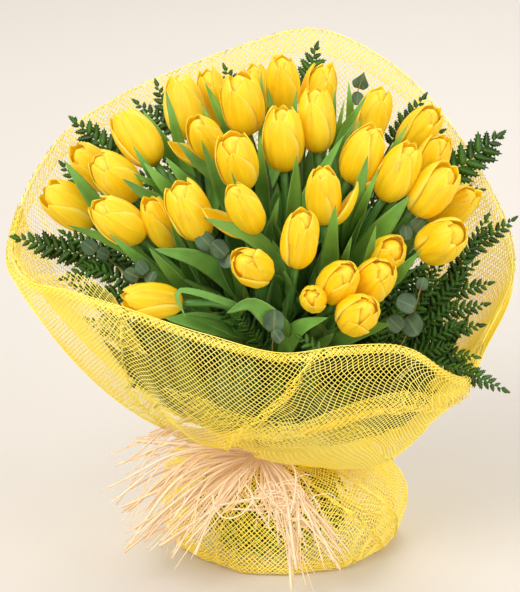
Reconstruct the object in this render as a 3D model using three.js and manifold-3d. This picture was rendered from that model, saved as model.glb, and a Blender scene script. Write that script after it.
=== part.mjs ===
// A hand-tied bunch of yellow tulips with fern and eucalyptus, wrapped in net and tied with raffia.
// Millimetres, +Z up. The origin is on the surface, below the tie, amid the cut stem ends.
// +X runs to the right and +Y to the back, where the net collar stands highest.
import * as THREE from 'three';
import { mergeVertices } from 'three/addons/utils/BufferGeometryUtils.js';
import Module from 'manifold-3d';

const wasm = await Module();
wasm.setup();

// Driving sizes
const TIE_HEIGHT = 108;
const BLOOM_LENGTH = 62;
const STEM_RADIUS = 3.4;
const BUNDLE_RADIUS = 21;
const STEM_PITCH = 6.8;
const EASING_ROUNDS = 60;
const PRESSED_HEIGHT = 10;
const FOOT_RADIUS = 48;
const SPIRAL_TURN = THREE.MathUtils.degToRad(65);
const LEAF_THICKNESS = 1.0;
const FERN_THICKNESS = 0.9;
const EUCALYPTUS_THICKNESS = 0.9;
const NET_THICKNESS = 1.5;
const NECK_RADIUS = 33;
const COLLAR_FOOT = 104.3;
const COLLAR_FLARE = 112;
const SKIRT_TOP = 103.3;
const SKIRT_FLARE = 95;
const GAP = 0.35;
const SLIVER = 0.05;
const SPRAY_RING_RADIUS = 29.9;
const STALK_RADIUS = 1.1;

// The front view that places are read in: millimetres a pixel at the flowers, the tie's pixel and the rise
const PIXEL = 0.92;
const TIE_COLUMN = 265;
const TIE_ROW = 432;
const VIEW_RISE = THREE.MathUtils.degToRad(20);
const RIGHT = new THREE.Vector3(1, 0, 0);
const PICTURE_UP = new THREE.Vector3(0, Math.sin(VIEW_RISE), Math.cos(VIEW_RISE));
const TOWARD = new THREE.Vector3(0, -Math.cos(VIEW_RISE), Math.sin(VIEW_RISE));
const TIE = new THREE.Vector3(0, 0, TIE_HEIGHT);

// Colours, roughness
const BLOOM_LOOK = { color: 0xf7cf12, roughness: 0.5, metalness: 0 };
const GREEN_LOOK = { color: 0x3f7a2c, roughness: 0.5, metalness: 0 };
const FERN_LOOK = { color: 0x1f4a1c, roughness: 0.55, metalness: 0 };
const EUCALYPTUS_LOOK = { color: 0x6f8f7b, roughness: 0.65, metalness: 0 };
const NET_LOOK = { color: 0xf3dc4a, roughness: 0.6, metalness: 0, side: THREE.DoubleSide };
const RAFFIA_LOOK = { color: 0xe3c795, roughness: 0.8, metalness: 0 };

const bunch = new THREE.Group();

// A point from its pixel and its distance toward the viewer from the upright plane of the tie
function seen([column, row], near) {
  return TIE.clone()
    .addScaledVector(RIGHT, (column - TIE_COLUMN) * PIXEL)
    .addScaledVector(PICTURE_UP, (TIE_ROW - row) * PIXEL)
    .addScaledVector(TOWARD, near);
}

function pictureReach([column, row]) {
  return Math.hypot(column - TIE_COLUMN, row - TIE_ROW);
}

// Distance toward the viewer of a lower point on the same ray out of the tie
function nearOnRay(pixel, outerPixel, outerNear) {
  return outerNear * pictureReach(pixel) / pictureReach(outerPixel);
}

// Solids
function solidOf(points, triangles) {
  const vertProperties = new Float32Array(points.flatMap((point) => [point.x, point.y, point.z]));
  const triVerts = new Uint32Array(triangles.flat());
  return new wasm.Manifold(new wasm.Mesh({ numProp: 3, vertProperties, triVerts }));
}

function solidFromGeometry(geometry) {
  geometry.deleteAttribute('normal');
  geometry.deleteAttribute('uv');
  const merged = mergeVertices(geometry, 1e-4);
  const vertProperties = new Float32Array(merged.attributes.position.array);
  const triVerts = new Uint32Array(merged.index.array);
  return new wasm.Manifold(new wasm.Mesh({ numProp: 3, vertProperties, triVerts }));
}

function joined(solids) {
  return solids.reduce((sum, solid) => sum.add(solid));
}

// The same solid without the slivers that its joins leave
function plain(solid) {
  return solid.simplify(SLIVER);
}

function largestBody(solid) {
  const bodies = solid.decompose();
  return bodies.reduce((best, body) => (body.volume() > best.volume() ? body : best));
}

function addNode(name, solid, look) {
  const { vertProperties, triVerts } = largestBody(plain(solid)).getMesh();
  const geometry = new THREE.BufferGeometry();
  geometry.setAttribute('position', new THREE.BufferAttribute(vertProperties, 3));
  geometry.setIndex(new THREE.BufferAttribute(triVerts, 1));
  geometry.computeVertexNormals();
  const mesh = new THREE.Mesh(geometry, new THREE.MeshStandardMaterial(look));
  mesh.name = name;
  bunch.add(mesh);
}

// A sheet with thickness: its faces are the same triangles on both sides, and a rim closes it
function slab(points, triangles, thickness) {
  const normals = points.map(() => new THREE.Vector3());
  for (const [a, b, c] of triangles) {
    const side = points[b].clone().sub(points[a]);
    const face = side.cross(points[c].clone().sub(points[a]));
    for (const corner of [a, b, c]) {
      normals[corner].add(face);
    }
  }
  const count = points.length;
  const upper = points.map((point, i) => point.clone().addScaledVector(normals[i].normalize(), thickness / 2));
  const lower = points.map((point, i) => point.clone().addScaledVector(normals[i], -thickness / 2));
  const faces = triangles.flatMap(([a, b, c]) => [[a, b, c], [c + count, b + count, a + count]]);
  const edges = new Set(triangles.flatMap(([a, b, c]) => [`${a},${b}`, `${b},${c}`, `${c},${a}`]));
  for (const edge of edges) {
    const [a, b] = edge.split(',').map(Number);
    if (!edges.has(`${b},${a}`)) {
      faces.push([b, a, a + count], [b, a + count, b + count]);
    }
  }
  return solidOf([...upper, ...lower], faces);
}

// Triangles between neighbouring rows of equal length
function gridTriangles(rows, columns, closed = false) {
  const triangles = [];
  const spans = closed ? columns : columns - 1;
  for (let row = 0; row < rows - 1; row += 1) {
    for (let column = 0; column < spans; column += 1) {
      const a = row * columns + column;
      const b = row * columns + (column + 1) % columns;
      triangles.push([a, b, b + columns], [a, b + columns, a + columns]);
    }
  }
  return triangles;
}

function roundSection(radius, sides) {
  const section = new THREE.Shape();
  for (let i = 0; i < sides; i += 1) {
    const angle = 2 * Math.PI * i / sides;
    const method = i === 0 ? 'moveTo' : 'lineTo';
    section[method](radius * Math.cos(angle), radius * Math.sin(angle));
  }
  section.closePath();
  return section;
}

function through(waypoints) {
  return new THREE.CatmullRomCurve3(waypoints, false, 'centripetal');
}

function tube(path, radius, sides, steps) {
  const geometry = new THREE.ExtrudeGeometry(roundSection(radius, sides), { extrudePath: path, steps });
  return solidFromGeometry(geometry);
}

// Blooms: tip and base are pixels of the ends of the axis, near is the middle's distance toward the viewer
const BLOOMS = [
  { tip: [177, 71], base: [190, 139], near: 62, width: 42 },
  { tip: [206, 66], base: [222, 122], near: 26, width: 34 },
  { tip: [237, 73], base: [248, 134], near: 92, width: 43 },
  { tip: [253, 60], base: [262, 118], near: 14, width: 34 },
  { tip: [282, 54], base: [283, 112], near: 56, width: 37 },
  { tip: [282, 108], base: [284, 172], near: 118, width: 42 },
  { tip: [327, 61], base: [312, 118], near: 34, width: 37 },
  { tip: [315, 87], base: [318, 153], near: 98, width: 38 },
  { tip: [384, 86], base: [363, 144], near: 64, width: 35 },
  { tip: [117, 107], base: [158, 167], near: 96, width: 42 },
  { tip: [74, 148], base: [112, 186], near: 68, width: 36 },
  { tip: [96, 158], base: [137, 197], near: 118, width: 42 },
  { tip: [194, 121], base: [220, 160], near: 112, width: 36, spread: 200 },
  { tip: [231, 138], base: [244, 189], near: 154, width: 41 },
  { tip: [376, 130], base: [349, 181], near: 132, width: 42, spread: 350 },
  { tip: [412, 147], base: [382, 200], near: 138, width: 40 },
  { tip: [437, 108], base: [405, 148], near: 58, width: 36 },
  { tip: [444, 138], base: [421, 182], near: 88, width: 34 },
  { tip: [44, 186], base: [92, 224], near: 82, width: 42 },
  { tip: [97, 205], base: [143, 238], near: 154, width: 42 },
  { tip: [151, 201], base: [171, 247], near: 148, width: 32 },
  { tip: [178, 186], base: [204, 239], near: 174, width: 42 },
  { tip: [232, 189], base: [256, 232], near: 192, width: 36, spread: 190 },
  { tip: [322, 169], base: [323, 224], near: 164, width: 37, spread: 350 },
  { tip: [450, 169], base: [413, 213], near: 134, width: 41 },
  { tip: [476, 192], base: [433, 222], near: 88, width: 36 },
  { tip: [458, 231], base: [422, 252], near: 140, width: 43 },
  { tip: [303, 213], base: [295, 267], near: 200, width: 37 },
  { tip: [240, 261], base: [264, 275], near: 214, width: 37 },
  { tip: [309, 295], base: [315, 303], near: 206, width: 26, length: 42 },
  { tip: [346, 270], base: [327, 294], near: 192, width: 39 },
  { tip: [383, 268], base: [361, 294], near: 176, width: 40 },
  { tip: [394, 245], base: [374, 269], near: 142, width: 36 },
  { tip: [364, 306], base: [347, 321], near: 204, width: 41 },
  { tip: [125, 297], base: [184, 303], near: 182, width: 35, length: 58 },
];

// Petal outline from base to tip: share of the length, share of the width, half of the angle it spans
const PETAL_ROWS = [
  { along: 0, radius: 0.16, half: 60 },
  { along: 0.3, radius: 0.47, half: 57 },
  { along: 0.68, radius: 0.47, half: 50 },
];
const INNER_PETAL_ROWS = [PETAL_ROWS[0], PETAL_ROWS[2]];
const PETAL_TIP = { along: 1, radius: 0.13 };
const INNER_PETAL = { size: 0.93, reach: 0.97 };
const PETAL_PAST = 2;
const SPREAD_LEAN = THREE.MathUtils.degToRad(24);
const SPREAD_THICKNESS = 1.4;
const COVER_SIDES = 6;
const COVER_SWELL = 1.16;

function aroundAxis(angle, radius, height) {
  const turn = THREE.MathUtils.degToRad(angle);
  return new THREE.Vector3(radius * Math.cos(turn), radius * Math.sin(turn), height);
}

function petalPoints(rows, azimuth, width, length) {
  const points = rows.flatMap(({ along, radius, half }) => [-half, 0, half].map(
    (turn) => aroundAxis(azimuth + turn, radius * width, along * length)));
  points.push(aroundAxis(azimuth, PETAL_TIP.radius * width, PETAL_TIP.along * length));
  return points;
}

function petalFaces(rows) {
  const tip = rows.length * 3;
  return [...gridTriangles(rows.length, 3), [tip - 3, tip - 2, tip], [tip - 2, tip - 1, tip]];
}

// A closed petal is a wedge that reaches a little past the bloom's axis
function closedPetal(rows, azimuth, width, length) {
  const points = petalPoints(rows, azimuth, width, length);
  const tip = points.length - 1;
  const low = tip + 1;
  const high = tip + 2;
  points.push(aroundAxis(azimuth, -PETAL_PAST, 0), aroundAxis(azimuth, -PETAL_PAST, PETAL_ROWS[2].along * length));
  const triangles = [...petalFaces(rows), [low, 1, 0], [low, 2, 1]];
  for (let row = 0; row < rows.length - 1; row += 1) {
    const left = row * 3;
    triangles.push([left, left + 3, low], [left + 5, left + 2, low]);
  }
  triangles.push([tip - 3, high, low], [tip - 3, tip, high], [tip - 1, low, high], [tip, tip - 1, high]);
  return solidOf(points, triangles);
}

// A petal that has fallen open is a spoon that leans out from the base
function spreadPetal(azimuth, width, length, thickness) {
  const turn = THREE.MathUtils.degToRad(azimuth);
  const hinge = new THREE.Vector3(-Math.sin(turn), Math.cos(turn), 0);
  const upright = petalPoints(PETAL_ROWS, azimuth, width, length);
  const points = upright.map((point) => point.applyAxisAngle(hinge, SPREAD_LEAN));
  return slab(points, petalFaces(PETAL_ROWS), thickness);
}

function bloomFrame({ tip, base, near, length = BLOOM_LENGTH }) {
  const across = (tip[0] - base[0]) * PIXEL;
  const rise = (base[1] - tip[1]) * PIXEL;
  const out = Math.sqrt(Math.max(length ** 2 - across ** 2 - rise ** 2, 0));
  const axis = new THREE.Vector3()
    .addScaledVector(RIGHT, across)
    .addScaledVector(PICTURE_UP, rise)
    .addScaledVector(TOWARD, out)
    .normalize();
  const side = RIGHT.clone().addScaledVector(axis, -axis.x).normalize();
  const back = axis.clone().cross(side);
  const middle = seen([(tip[0] + base[0]) / 2, (tip[1] + base[1]) / 2], near);
  const foot = middle.addScaledVector(axis, -length / 2);
  const matrix = new THREE.Matrix4().makeBasis(side, back, axis).setPosition(foot);
  return { axis, foot, matrix, length };
}

function placed(solid, matrix) {
  return solid.transform(matrix.elements);
}

function bloom(entry, index) {
  const { matrix, length } = bloomFrame(entry);
  const width = entry.width * PIXEL;
  const roll = entry.spread ?? 270 + 23 * Math.sin(index * 2.4);
  const petals = [];
  for (let turn = 0; turn < 360; turn += 120) {
    const open = entry.spread !== undefined && turn === 0;
    const inner = [roll + turn + 60, width * INNER_PETAL.size, length * INNER_PETAL.reach];
    petals.push(closedPetal(open ? PETAL_ROWS : INNER_PETAL_ROWS, ...inner));
    petals.push(open
      ? spreadPetal(roll, width, length, SPREAD_THICKNESS)
      : closedPetal(PETAL_ROWS, roll + turn, width, length));
  }
  return placed(joined(petals), matrix);
}

// A plain cover a little larger than a bloom, which stems and leaves are cut back to
function bloomCover(entry) {
  const { matrix, length } = bloomFrame(entry);
  const width = entry.width * PIXEL;
  const profile = [new THREE.Vector2(0, -GAP), new THREE.Vector2(PETAL_ROWS[0].radius * width, -GAP)];
  for (const { along, radius } of [...PETAL_ROWS, PETAL_TIP]) {
    profile.push(new THREE.Vector2(radius * width * COVER_SWELL + GAP, along * length + GAP));
  }
  profile.push(new THREE.Vector2(0, length + GAP));
  const covers = [solidFromGeometry(new THREE.LatheGeometry(profile, COVER_SIDES).rotateX(Math.PI / 2))];
  if (entry.spread !== undefined) {
    covers.push(spreadPetal(entry.spread, width, length, SPREAD_THICKNESS + 2 * GAP));
  }
  return placed(joined(covers), matrix);
}

// Places of the stems in the tie, in the order of their directions, eased apart to even spacing.
// The middle stem runs straight down to the origin.
function tiePlaces() {
  const places = BLOOMS.map((entry) => {
    const out = bloomFrame(entry).foot.sub(TIE);
    return new THREE.Vector3(out.x, out.y, 0).multiplyScalar(BUNDLE_RADIUS / out.length());
  });
  for (let round = 0; round < EASING_ROUNDS; round += 1) {
    for (const a of places) {
      for (const b of places) {
        const between = b.clone().sub(a);
        const distance = between.length();
        if (a !== b && distance < STEM_PITCH) {
          const push = (STEM_PITCH - distance) / 2 / distance;
          a.addScaledVector(between, -push);
          b.addScaledVector(between, push);
        }
      }
    }
    for (const place of places) {
      place.clampLength(0, BUNDLE_RADIUS);
    }
  }
  const middle = places.reduce((best, place) => (place.length() < best.length() ? place : best)).clone();
  return places.map((place) => place.sub(middle));
}

const TIE_PLACES = tiePlaces();

// The stems are pressed into one body where the tie holds them
function pressedStems() {
  const geometry = new THREE.CylinderGeometry(BUNDLE_RADIUS + 2, BUNDLE_RADIUS + 2, PRESSED_HEIGHT, 12);
  return solidFromGeometry(geometry.rotateX(Math.PI / 2).translate(0, 0, TIE_HEIGHT - 4));
}

function footPlace(place) {
  return place.clone()
    .multiplyScalar(FOOT_RADIUS / BUNDLE_RADIUS)
    .applyAxisAngle(new THREE.Vector3(0, 0, 1), SPIRAL_TURN);
}

function stemCurve(entry, index) {
  const { axis, foot } = bloomFrame(entry);
  const place = TIE_PLACES[index];
  const cutEnd = footPlace(place).setZ(-6);
  const atTie = place.clone().setZ(TIE_HEIGHT);
  const reach = foot.distanceTo(TIE);
  const rise = atTie.clone().sub(cutEnd).normalize();
  const aboveTie = atTie.clone().lerp(foot, 0.3).addScaledVector(rise, reach * 0.06);
  const belowBloom = foot.clone().addScaledVector(axis, -reach * 0.2);
  const end = foot.clone().addScaledVector(axis, 1);
  return through([cutEnd, atTie, aboveTie, belowBloom, end]);
}

function stem(entry, index, radius) {
  return tube(stemCurve(entry, index), radius, 4, 5);
}

// Leaves: tip, root and where needed middle are pixels, near is the tip's distance toward the viewer
const LEAVES = [
  { tip: [211, 65], root: [228, 112], near: 30, width: 9 },
  { tip: [204, 80], root: [232, 140], near: 78, width: 12 },
  { tip: [261, 67], root: [263, 112], near: 58, width: 8 },
  { tip: [268, 86], root: [275, 132], near: 66, width: 11 },
  { tip: [297, 90], root: [292, 128], near: 72, width: 11 },
  { tip: [336, 88], root: [334, 120], near: 66, width: 9 },
  { tip: [350, 79], root: [351, 120], near: 40, width: 12 },
  { tip: [345, 98], root: [334, 155], near: 80, width: 9 },
  { tip: [367, 95], root: [344, 130], near: 92, width: 11 },
  { tip: [357, 118], root: [336, 155], near: 104, width: 9 },
  { tip: [361, 119], root: [348, 150], near: 112, width: 9 },
  { tip: [142, 109], root: [176, 165], near: 88, width: 16 },
  { tip: [166, 91], root: [180, 145], near: 104, width: 12 },
  { tip: [134, 147], root: [155, 180], near: 124, width: 12 },
  { tip: [144, 163], root: [176, 200], near: 134, width: 18 },
  { tip: [125, 171], root: [168, 190], near: 128, width: 10 },
  { tip: [124, 180], root: [162, 208], near: 144, width: 17 },
  { tip: [65, 161], root: [104, 214], near: 118, width: 17 },
  { tip: [94, 179], root: [116, 206], near: 124, width: 10 },
  { tip: [177, 142], root: [214, 182], near: 128, width: 15 },
  { tip: [202, 142], root: [228, 205], near: 146, width: 14 },
  { tip: [166, 158], root: [196, 195], near: 132, width: 16 },
  { tip: [201, 103], root: [214, 130], near: 92, width: 9 },
  { tip: [260, 136], root: [265, 212], near: 132, width: 15 },
  { tip: [296, 158], root: [290, 260], near: 158, width: 19 },
  { tip: [279, 198], root: [268, 242], near: 166, width: 11 },
  { tip: [343, 137], root: [308, 196], near: 148, width: 13 },
  { tip: [366, 158], root: [350, 218], near: 166, width: 16 },
  { tip: [377, 170], root: [358, 218], near: 164, width: 11 },
  { tip: [408, 124], root: [386, 160], near: 106, width: 10 },
  { tip: [408, 197], root: [368, 244], near: 152, width: 22 },
  { tip: [334, 207], root: [326, 300], near: 196, width: 20 },
  { tip: [374, 226], root: [364, 268], near: 176, width: 12 },
  { tip: [350, 237], root: [341, 270], near: 182, width: 11 },
  { tip: [419, 250], root: [390, 282], near: 170, width: 13 },
  { tip: [388, 323], root: [318, 348], near: 186, width: 22, middle: [352, 331] },
  { tip: [326, 317], root: [286, 348], near: 206, width: 20, middle: [300, 328] },
  { tip: [205, 220], root: [282, 300], near: 212, width: 19, middle: [261, 246] },
  { tip: [156, 250], root: [242, 298], near: 196, width: 20, middle: [204, 262] },
  { tip: [151, 248], root: [190, 294], near: 202, width: 14 },
  { tip: [172, 223], root: [194, 280], near: 172, width: 16 },
  { tip: [70, 226], root: [166, 270], near: 150, width: 15, middle: [116, 242] },
  { tip: [112, 235], root: [158, 276], near: 172, width: 12 },
  { tip: [167, 318], root: [246, 334], near: 188, width: 24, middle: [204, 322] },
  { tip: [227, 313], root: [276, 322], near: 212, width: 22, middle: [250, 303] },
  { tip: [188, 318], root: [236, 306], near: 214, width: 8, middle: [180, 292] },
  { tip: [232, 174], root: [242, 200], near: 178, width: 9 },
];

// Leaf outline: place along the blade (root at 1/3 of the curve, tip at its end) and share of the width
const LEAF_ROWS = [
  { along: 0, share: 0.3 },
  { along: 0.36, share: 0.85 },
  { along: 0.6, share: 1 },
  { along: 0.86, share: 0.55 },
];
const LEAF_FOLD = 0.3;
const NARROW_LEAF = 12;

// A leaf starts on the nearest stem, somewhat below its root
const LEAF_START = 0.72;
const STEM_STATIONS = [0.45, 0.5, 0.55, 0.6, 0.65, 0.7, 0.75, 0.8];
const STEM_POINTS = BLOOMS.flatMap((entry, index) => {
  const curve = stemCurve(entry, index);
  return STEM_STATIONS.map((along) => curve.getPointAt(along));
});

function bladeFrame(curve, along, roll) {
  const tangent = curve.getTangent(along);
  const normal = TOWARD.clone().addScaledVector(tangent, -TOWARD.dot(tangent)).normalize();
  normal.applyAxisAngle(tangent, roll);
  const side = tangent.clone().cross(normal);
  return { normal, side };
}

function leafCurve({ tip, root, middle, near }) {
  const tipPoint = seen(tip, near);
  const rootPoint = seen(root, nearOnRay(root, tip, near) - 4);
  const middlePixel = middle ?? [(tip[0] + root[0]) / 2, (tip[1] + root[1]) / 2];
  const middlePoint = seen(middlePixel, (near + nearOnRay(root, tip, near)) / 2 + 4);
  const below = TIE.clone().lerp(rootPoint, LEAF_START);
  const start = STEM_POINTS.reduce((best, point) => (
    point.distanceToSquared(below) < best.distanceToSquared(below) ? point : best));
  return new THREE.CatmullRomCurve3([start, rootPoint, middlePoint, tipPoint]);
}

function leaf(entry, index, thickness) {
  const curve = leafCurve(entry);
  const half = entry.width * PIXEL / 2;
  const roll = 0.35 * Math.sin(index * 2.4);
  const edges = entry.width > NARROW_LEAF ? [-1, 0, 1] : [-1, 1];
  const points = [];
  for (const { along, share } of LEAF_ROWS) {
    const middle = curve.getPoint(along);
    const { normal, side } = bladeFrame(curve, along, roll);
    for (const edge of edges) {
      points.push(middle.clone()
        .addScaledVector(side, edge * half * share)
        .addScaledVector(normal, Math.abs(edge) * half * share * LEAF_FOLD));
    }
  }
  points.push(curve.getPoint(1));
  const last = points.length - 1;
  const triangles = gridTriangles(LEAF_ROWS.length, edges.length);
  for (let place = edges.length; place > 1; place -= 1) {
    triangles.push([last - place, last - place + 1, last]);
  }
  return slab(points, triangles, thickness);
}

// Fern fronds, one list for each node: root and tip pixels of the leafy part, spread is half of its width
const FERNS = [
  [{ root: [303, 92], tip: [318, 40], near: 10, spread: 17 }],
  [{ root: [238, 96], tip: [224, 63], near: 18, spread: 12 }],
  [{ root: [172, 128], tip: [154, 78], near: 20, spread: 12 }, { root: [172, 128], tip: [133, 98], near: 26, spread: 12 }],
  [{ root: [126, 166], tip: [69, 116], near: 40, spread: 22 }],
  [{ root: [92, 200], tip: [59, 162], near: 46, spread: 14 }],
  [{ root: [112, 262], tip: [9, 236], near: 70, spread: 24 }, { root: [112, 262], tip: [60, 279], near: 78, spread: 14 }],
  [{ root: [392, 142], tip: [428, 92], near: 34, spread: 14 }],
  [{ root: [440, 184], tip: [506, 131], near: 40, spread: 28 }],
  [{ root: [418, 350], tip: [492, 208], near: 92, spread: 46 }],
  [{ root: [432, 352], tip: [508, 392], near: 128, spread: 12 }],
  [{ root: [205, 352], tip: [126, 386], near: 128, spread: 20 }],
  [{ root: [262, 330], tip: [196, 288], near: 170, spread: 20 }],
];
const PINNA_PITCH = 14;
const FERN_PAIRS_RANGE = [4, 8];
const FERN_ARCH = 0.08;

function sprayAzimuth(entry) {
  const point = seen(entry.root, nearOnRay(entry.root, entry.tip, entry.near));
  return Math.atan2(point.y, point.x);
}

// The stalk of a spray, from beside the tulip stems at the tie up to the root of its leafy part
function stalk(slot, root, onward, radius) {
  const at = (height) => aroundAxis(THREE.MathUtils.radToDeg(slot), SPRAY_RING_RADIUS, height);
  const low = at(TIE_HEIGHT - 4);
  const tie = at(TIE_HEIGHT + 4);
  const middle = tie.clone().lerp(root, 0.5).addScaledVector(new THREE.Vector3(0, 0, 1), 6);
  return tube(through([low, tie, middle, root, onward]), radius, 3, 5);
}

function frond(entry, slot, thickness, stalkRadius) {
  const root = seen(entry.root, nearOnRay(entry.root, entry.tip, entry.near));
  const tip = seen(entry.tip, entry.near);
  const length = root.distanceTo(tip);
  const middle = root.clone().lerp(tip, 0.5).addScaledVector(TOWARD, length * FERN_ARCH);
  const curve = new THREE.QuadraticBezierCurve3(root, middle, tip);
  const points = [];
  const triangles = [];
  const ribHalf = STALK_RADIUS * 0.9;
  const pairs = THREE.MathUtils.clamp(Math.round(length / PINNA_PITCH), ...FERN_PAIRS_RANGE);
  for (let step = 0; step <= pairs; step += 1) {
    const along = step / pairs * 0.97;
    const { side } = bladeFrame(curve, along, 0);
    const centre = curve.getPoint(along);
    points.push(centre.clone().addScaledVector(side, -ribHalf), centre.clone().addScaledVector(side, ribHalf));
  }
  points.push(curve.getPoint(1));
  for (let step = 0; step < pairs; step += 1) {
    const left = step * 2;
    triangles.push([left, left + 1, left + 3], [left, left + 3, left + 2]);
  }
  const ribEnd = pairs * 2;
  triangles.push([ribEnd, ribEnd + 1, ribEnd + 2]);
  for (let pair = 0; pair < pairs; pair += 1) {
    const along = (pair + 0.4) / pairs;
    const reach = entry.spread * PIXEL * Math.sqrt(Math.sin(Math.PI * (0.2 + 0.8 * (1 - along)) * 0.62));
    const taper = Math.min(1, 1.25 * (1 - along) + 0.12);
    const { side, normal } = bladeFrame(curve, along, 0);
    const forward = curve.getTangent(along);
    for (const hand of [-1, 1]) {
      const from = pair * 2 + (hand === 1 ? 1 : 0);
      const to = from + 2;
      const foot = points[from].clone().lerp(points[to], 0.5);
      const leafletLength = reach * taper;
      const out = side.clone().multiplyScalar(hand).addScaledVector(forward, 0.55).normalize();
      const wide = forward.clone().addScaledVector(out, -forward.dot(out)).normalize();
      const halfWide = leafletLength * 0.14;
      const at = (share, across) => foot.clone()
        .addScaledVector(out, leafletLength * share)
        .addScaledVector(wide, across * halfWide)
        .addScaledVector(normal, -leafletLength * 0.12 * share * share);
      const first = points.length;
      points.push(at(0.45, -1), at(1, 0.5));
      const loop = [[from, first, to], [first, first + 1, to]];
      triangles.push(...(hand === 1 ? loop : loop.map(([a, b, c]) => [c, b, a])));
    }
  }
  const blade = slab(points, triangles, thickness);
  return blade.add(stalk(slot, root, curve.getPoint(0.1), stalkRadius));
}

// Eucalyptus: each leaf is a pixel and a size, the stalk runs from the root pixel to the first leaf
const EUCALYPTUS = [
  { root: [352, 112], near: 34, leaves: [[363, 77, 18], [359, 95, 14]] },
  { root: [392, 250], near: 128, leaves: [[416, 226, 17], [405, 233, 16]] },
  { root: [400, 344], near: 152, leaves: [[420, 284, 13], [404, 303, 21], [410, 325, 24], [393, 323, 18]] },
  { root: [238, 272], near: 178, leaves: [[206, 242, 20], [220, 250, 20], [227, 262, 15]] },
  { root: [112, 262], near: 110, leaves: [[90, 247, 17], [104, 254, 14]] },
  { root: [166, 286], near: 168, leaves: [[134, 275, 16], [144, 268, 15], [153, 277, 14]] },
  { root: [272, 348], near: 196, leaves: [[274, 320, 22], [277, 335, 14]] },
];

const EUCALYPTUS_SIDES = 6;

function eucalyptusLeaf(middle, foot, diameter, index, thickness) {
  const reach = middle.clone().sub(foot);
  const face = TOWARD.clone().applyAxisAngle(PICTURE_UP, 0.5 * Math.sin(index * 2.1));
  face.applyAxisAngle(RIGHT, 0.4 * Math.cos(index * 1.7));
  const forward = reach.clone().addScaledVector(face, -reach.dot(face)).normalize();
  const side = forward.clone().cross(face);
  const points = [middle.clone().addScaledVector(face, -diameter * 0.06)];
  for (let i = 0; i < EUCALYPTUS_SIDES; i += 1) {
    const turn = 2 * Math.PI * i / EUCALYPTUS_SIDES;
    points.push(middle.clone()
      .addScaledVector(forward, Math.cos(turn) * diameter / 2)
      .addScaledVector(side, -Math.sin(turn) * diameter / 2));
  }
  const triangles = points.slice(1).map((_, i) => [0, i + 1, (i + 1) % EUCALYPTUS_SIDES + 1]);
  return slab(points, triangles, thickness);
}

function sprig(entry, slot, thickness, stalkRadius) {
  const rootNear = entry.near * 0.92;
  const root = seen(entry.root, rootNear);
  const solids = [];
  const [firstColumn, firstRow] = entry.leaves[0];
  const end = seen([firstColumn, firstRow], entry.near);
  const spine = new THREE.LineCurve3(root, end);
  entry.leaves.forEach(([column, row, size], index) => {
    const middle = seen([column, row], entry.near + 3 * (index % 2));
    const foot = spine.getPoint(Math.max(0, 1 - (index + 1) / (entry.leaves.length + 1)));
    const diameter = size * PIXEL;
    solids.push(eucalyptusLeaf(middle, foot, diameter, index, thickness));
    solids.push(tube(new THREE.LineCurve3(foot, middle), stalkRadius * 0.8, 3, 1));
  });
  solids.push(stalk(slot, root, end, stalkRadius));
  return joined(solids);
}

// Net collar: rim stations round the axis, in degrees from the right, with radius and height
const RIM = [
  { angle: 0, radius: 229, height: 262 },
  { angle: 19, radius: 210, height: 346 },
  { angle: 32, radius: 200, height: 384 },
  { angle: 48, radius: 187, height: 421 },
  { angle: 69, radius: 166, height: 453 },
  { angle: 98, radius: 157, height: 438 },
  { angle: 118, radius: 165, height: 420 },
  { angle: 140, radius: 187, height: 395 },
  { angle: 156, radius: 207, height: 372 },
  { angle: 171, radius: 228, height: 322 },
  { angle: 182, radius: 234, height: 286 },
  { angle: 193, radius: 222, height: 276 },
  { angle: 207, radius: 204, height: 282 },
  { angle: 228, radius: 200, height: 288 },
  { angle: 254, radius: 198, height: 276 },
  { angle: 275, radius: 198, height: 260 },
  { angle: 291, radius: 197, height: 262 },
  { angle: 310, radius: 203, height: 248 },
  { angle: 322, radius: 206, height: 216 },
  { angle: 336, radius: 204, height: 196 },
  { angle: 349, radius: 206, height: 214 },
];
const COLLAR_COLUMNS = 24;
const COLLAR_LEVELS = [0, 0.1, 0.32, 0.64, 1];

// Periodic straight interpolation between stations, eased by a cosine
function stationValue(stations, angle, key) {
  const turn = (angle % 360 + 360) % 360;
  const next = stations.findIndex((station) => station.angle > turn);
  const after = next === -1 ? { ...stations[0], angle: 360 } : stations[next];
  const before = next === -1 ? stations[stations.length - 1] : stations[next - 1];
  const share = (turn - before.angle) / (after.angle - before.angle);
  const eased = (1 - Math.cos(Math.PI * share)) / 2;
  return before[key] + (after[key] - before[key]) * eased;
}

// How far out the collar sags before it climbs, fullest at the front right
function collarSag(angle) {
  return 1 + 0.35 * Math.max(0, Math.cos(THREE.MathUtils.degToRad(angle - 325))) ** 2;
}

function collarPoint(angle, level, outset = 0) {
  const rimRadius = stationValue(RIM, angle, 'radius');
  const rimHeight = stationValue(RIM, angle, 'height');
  const bulge = Math.min(1, level ** (0.78 / collarSag(angle)));
  const climb = level ** (1.35 * collarSag(angle));
  const radius = NECK_RADIUS + (rimRadius - NECK_RADIUS) * bulge + outset;
  const height = COLLAR_FLARE + (rimHeight - COLLAR_FLARE) * climb - outset;
  return aroundAxis(angle, radius, height);
}

function collar(thickness) {
  const turns = Array.from({ length: COLLAR_COLUMNS }, (_, column) => 360 * column / COLLAR_COLUMNS);
  const neck = turns.map((turn) => aroundAxis(turn, NECK_RADIUS, COLLAR_FOOT));
  const flare = COLLAR_LEVELS.flatMap((level) => turns.map((turn) => collarPoint(turn, level)));
  return slab([...neck, ...flare], gridTriangles(COLLAR_LEVELS.length + 1, COLLAR_COLUMNS, true), thickness);
}

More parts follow.
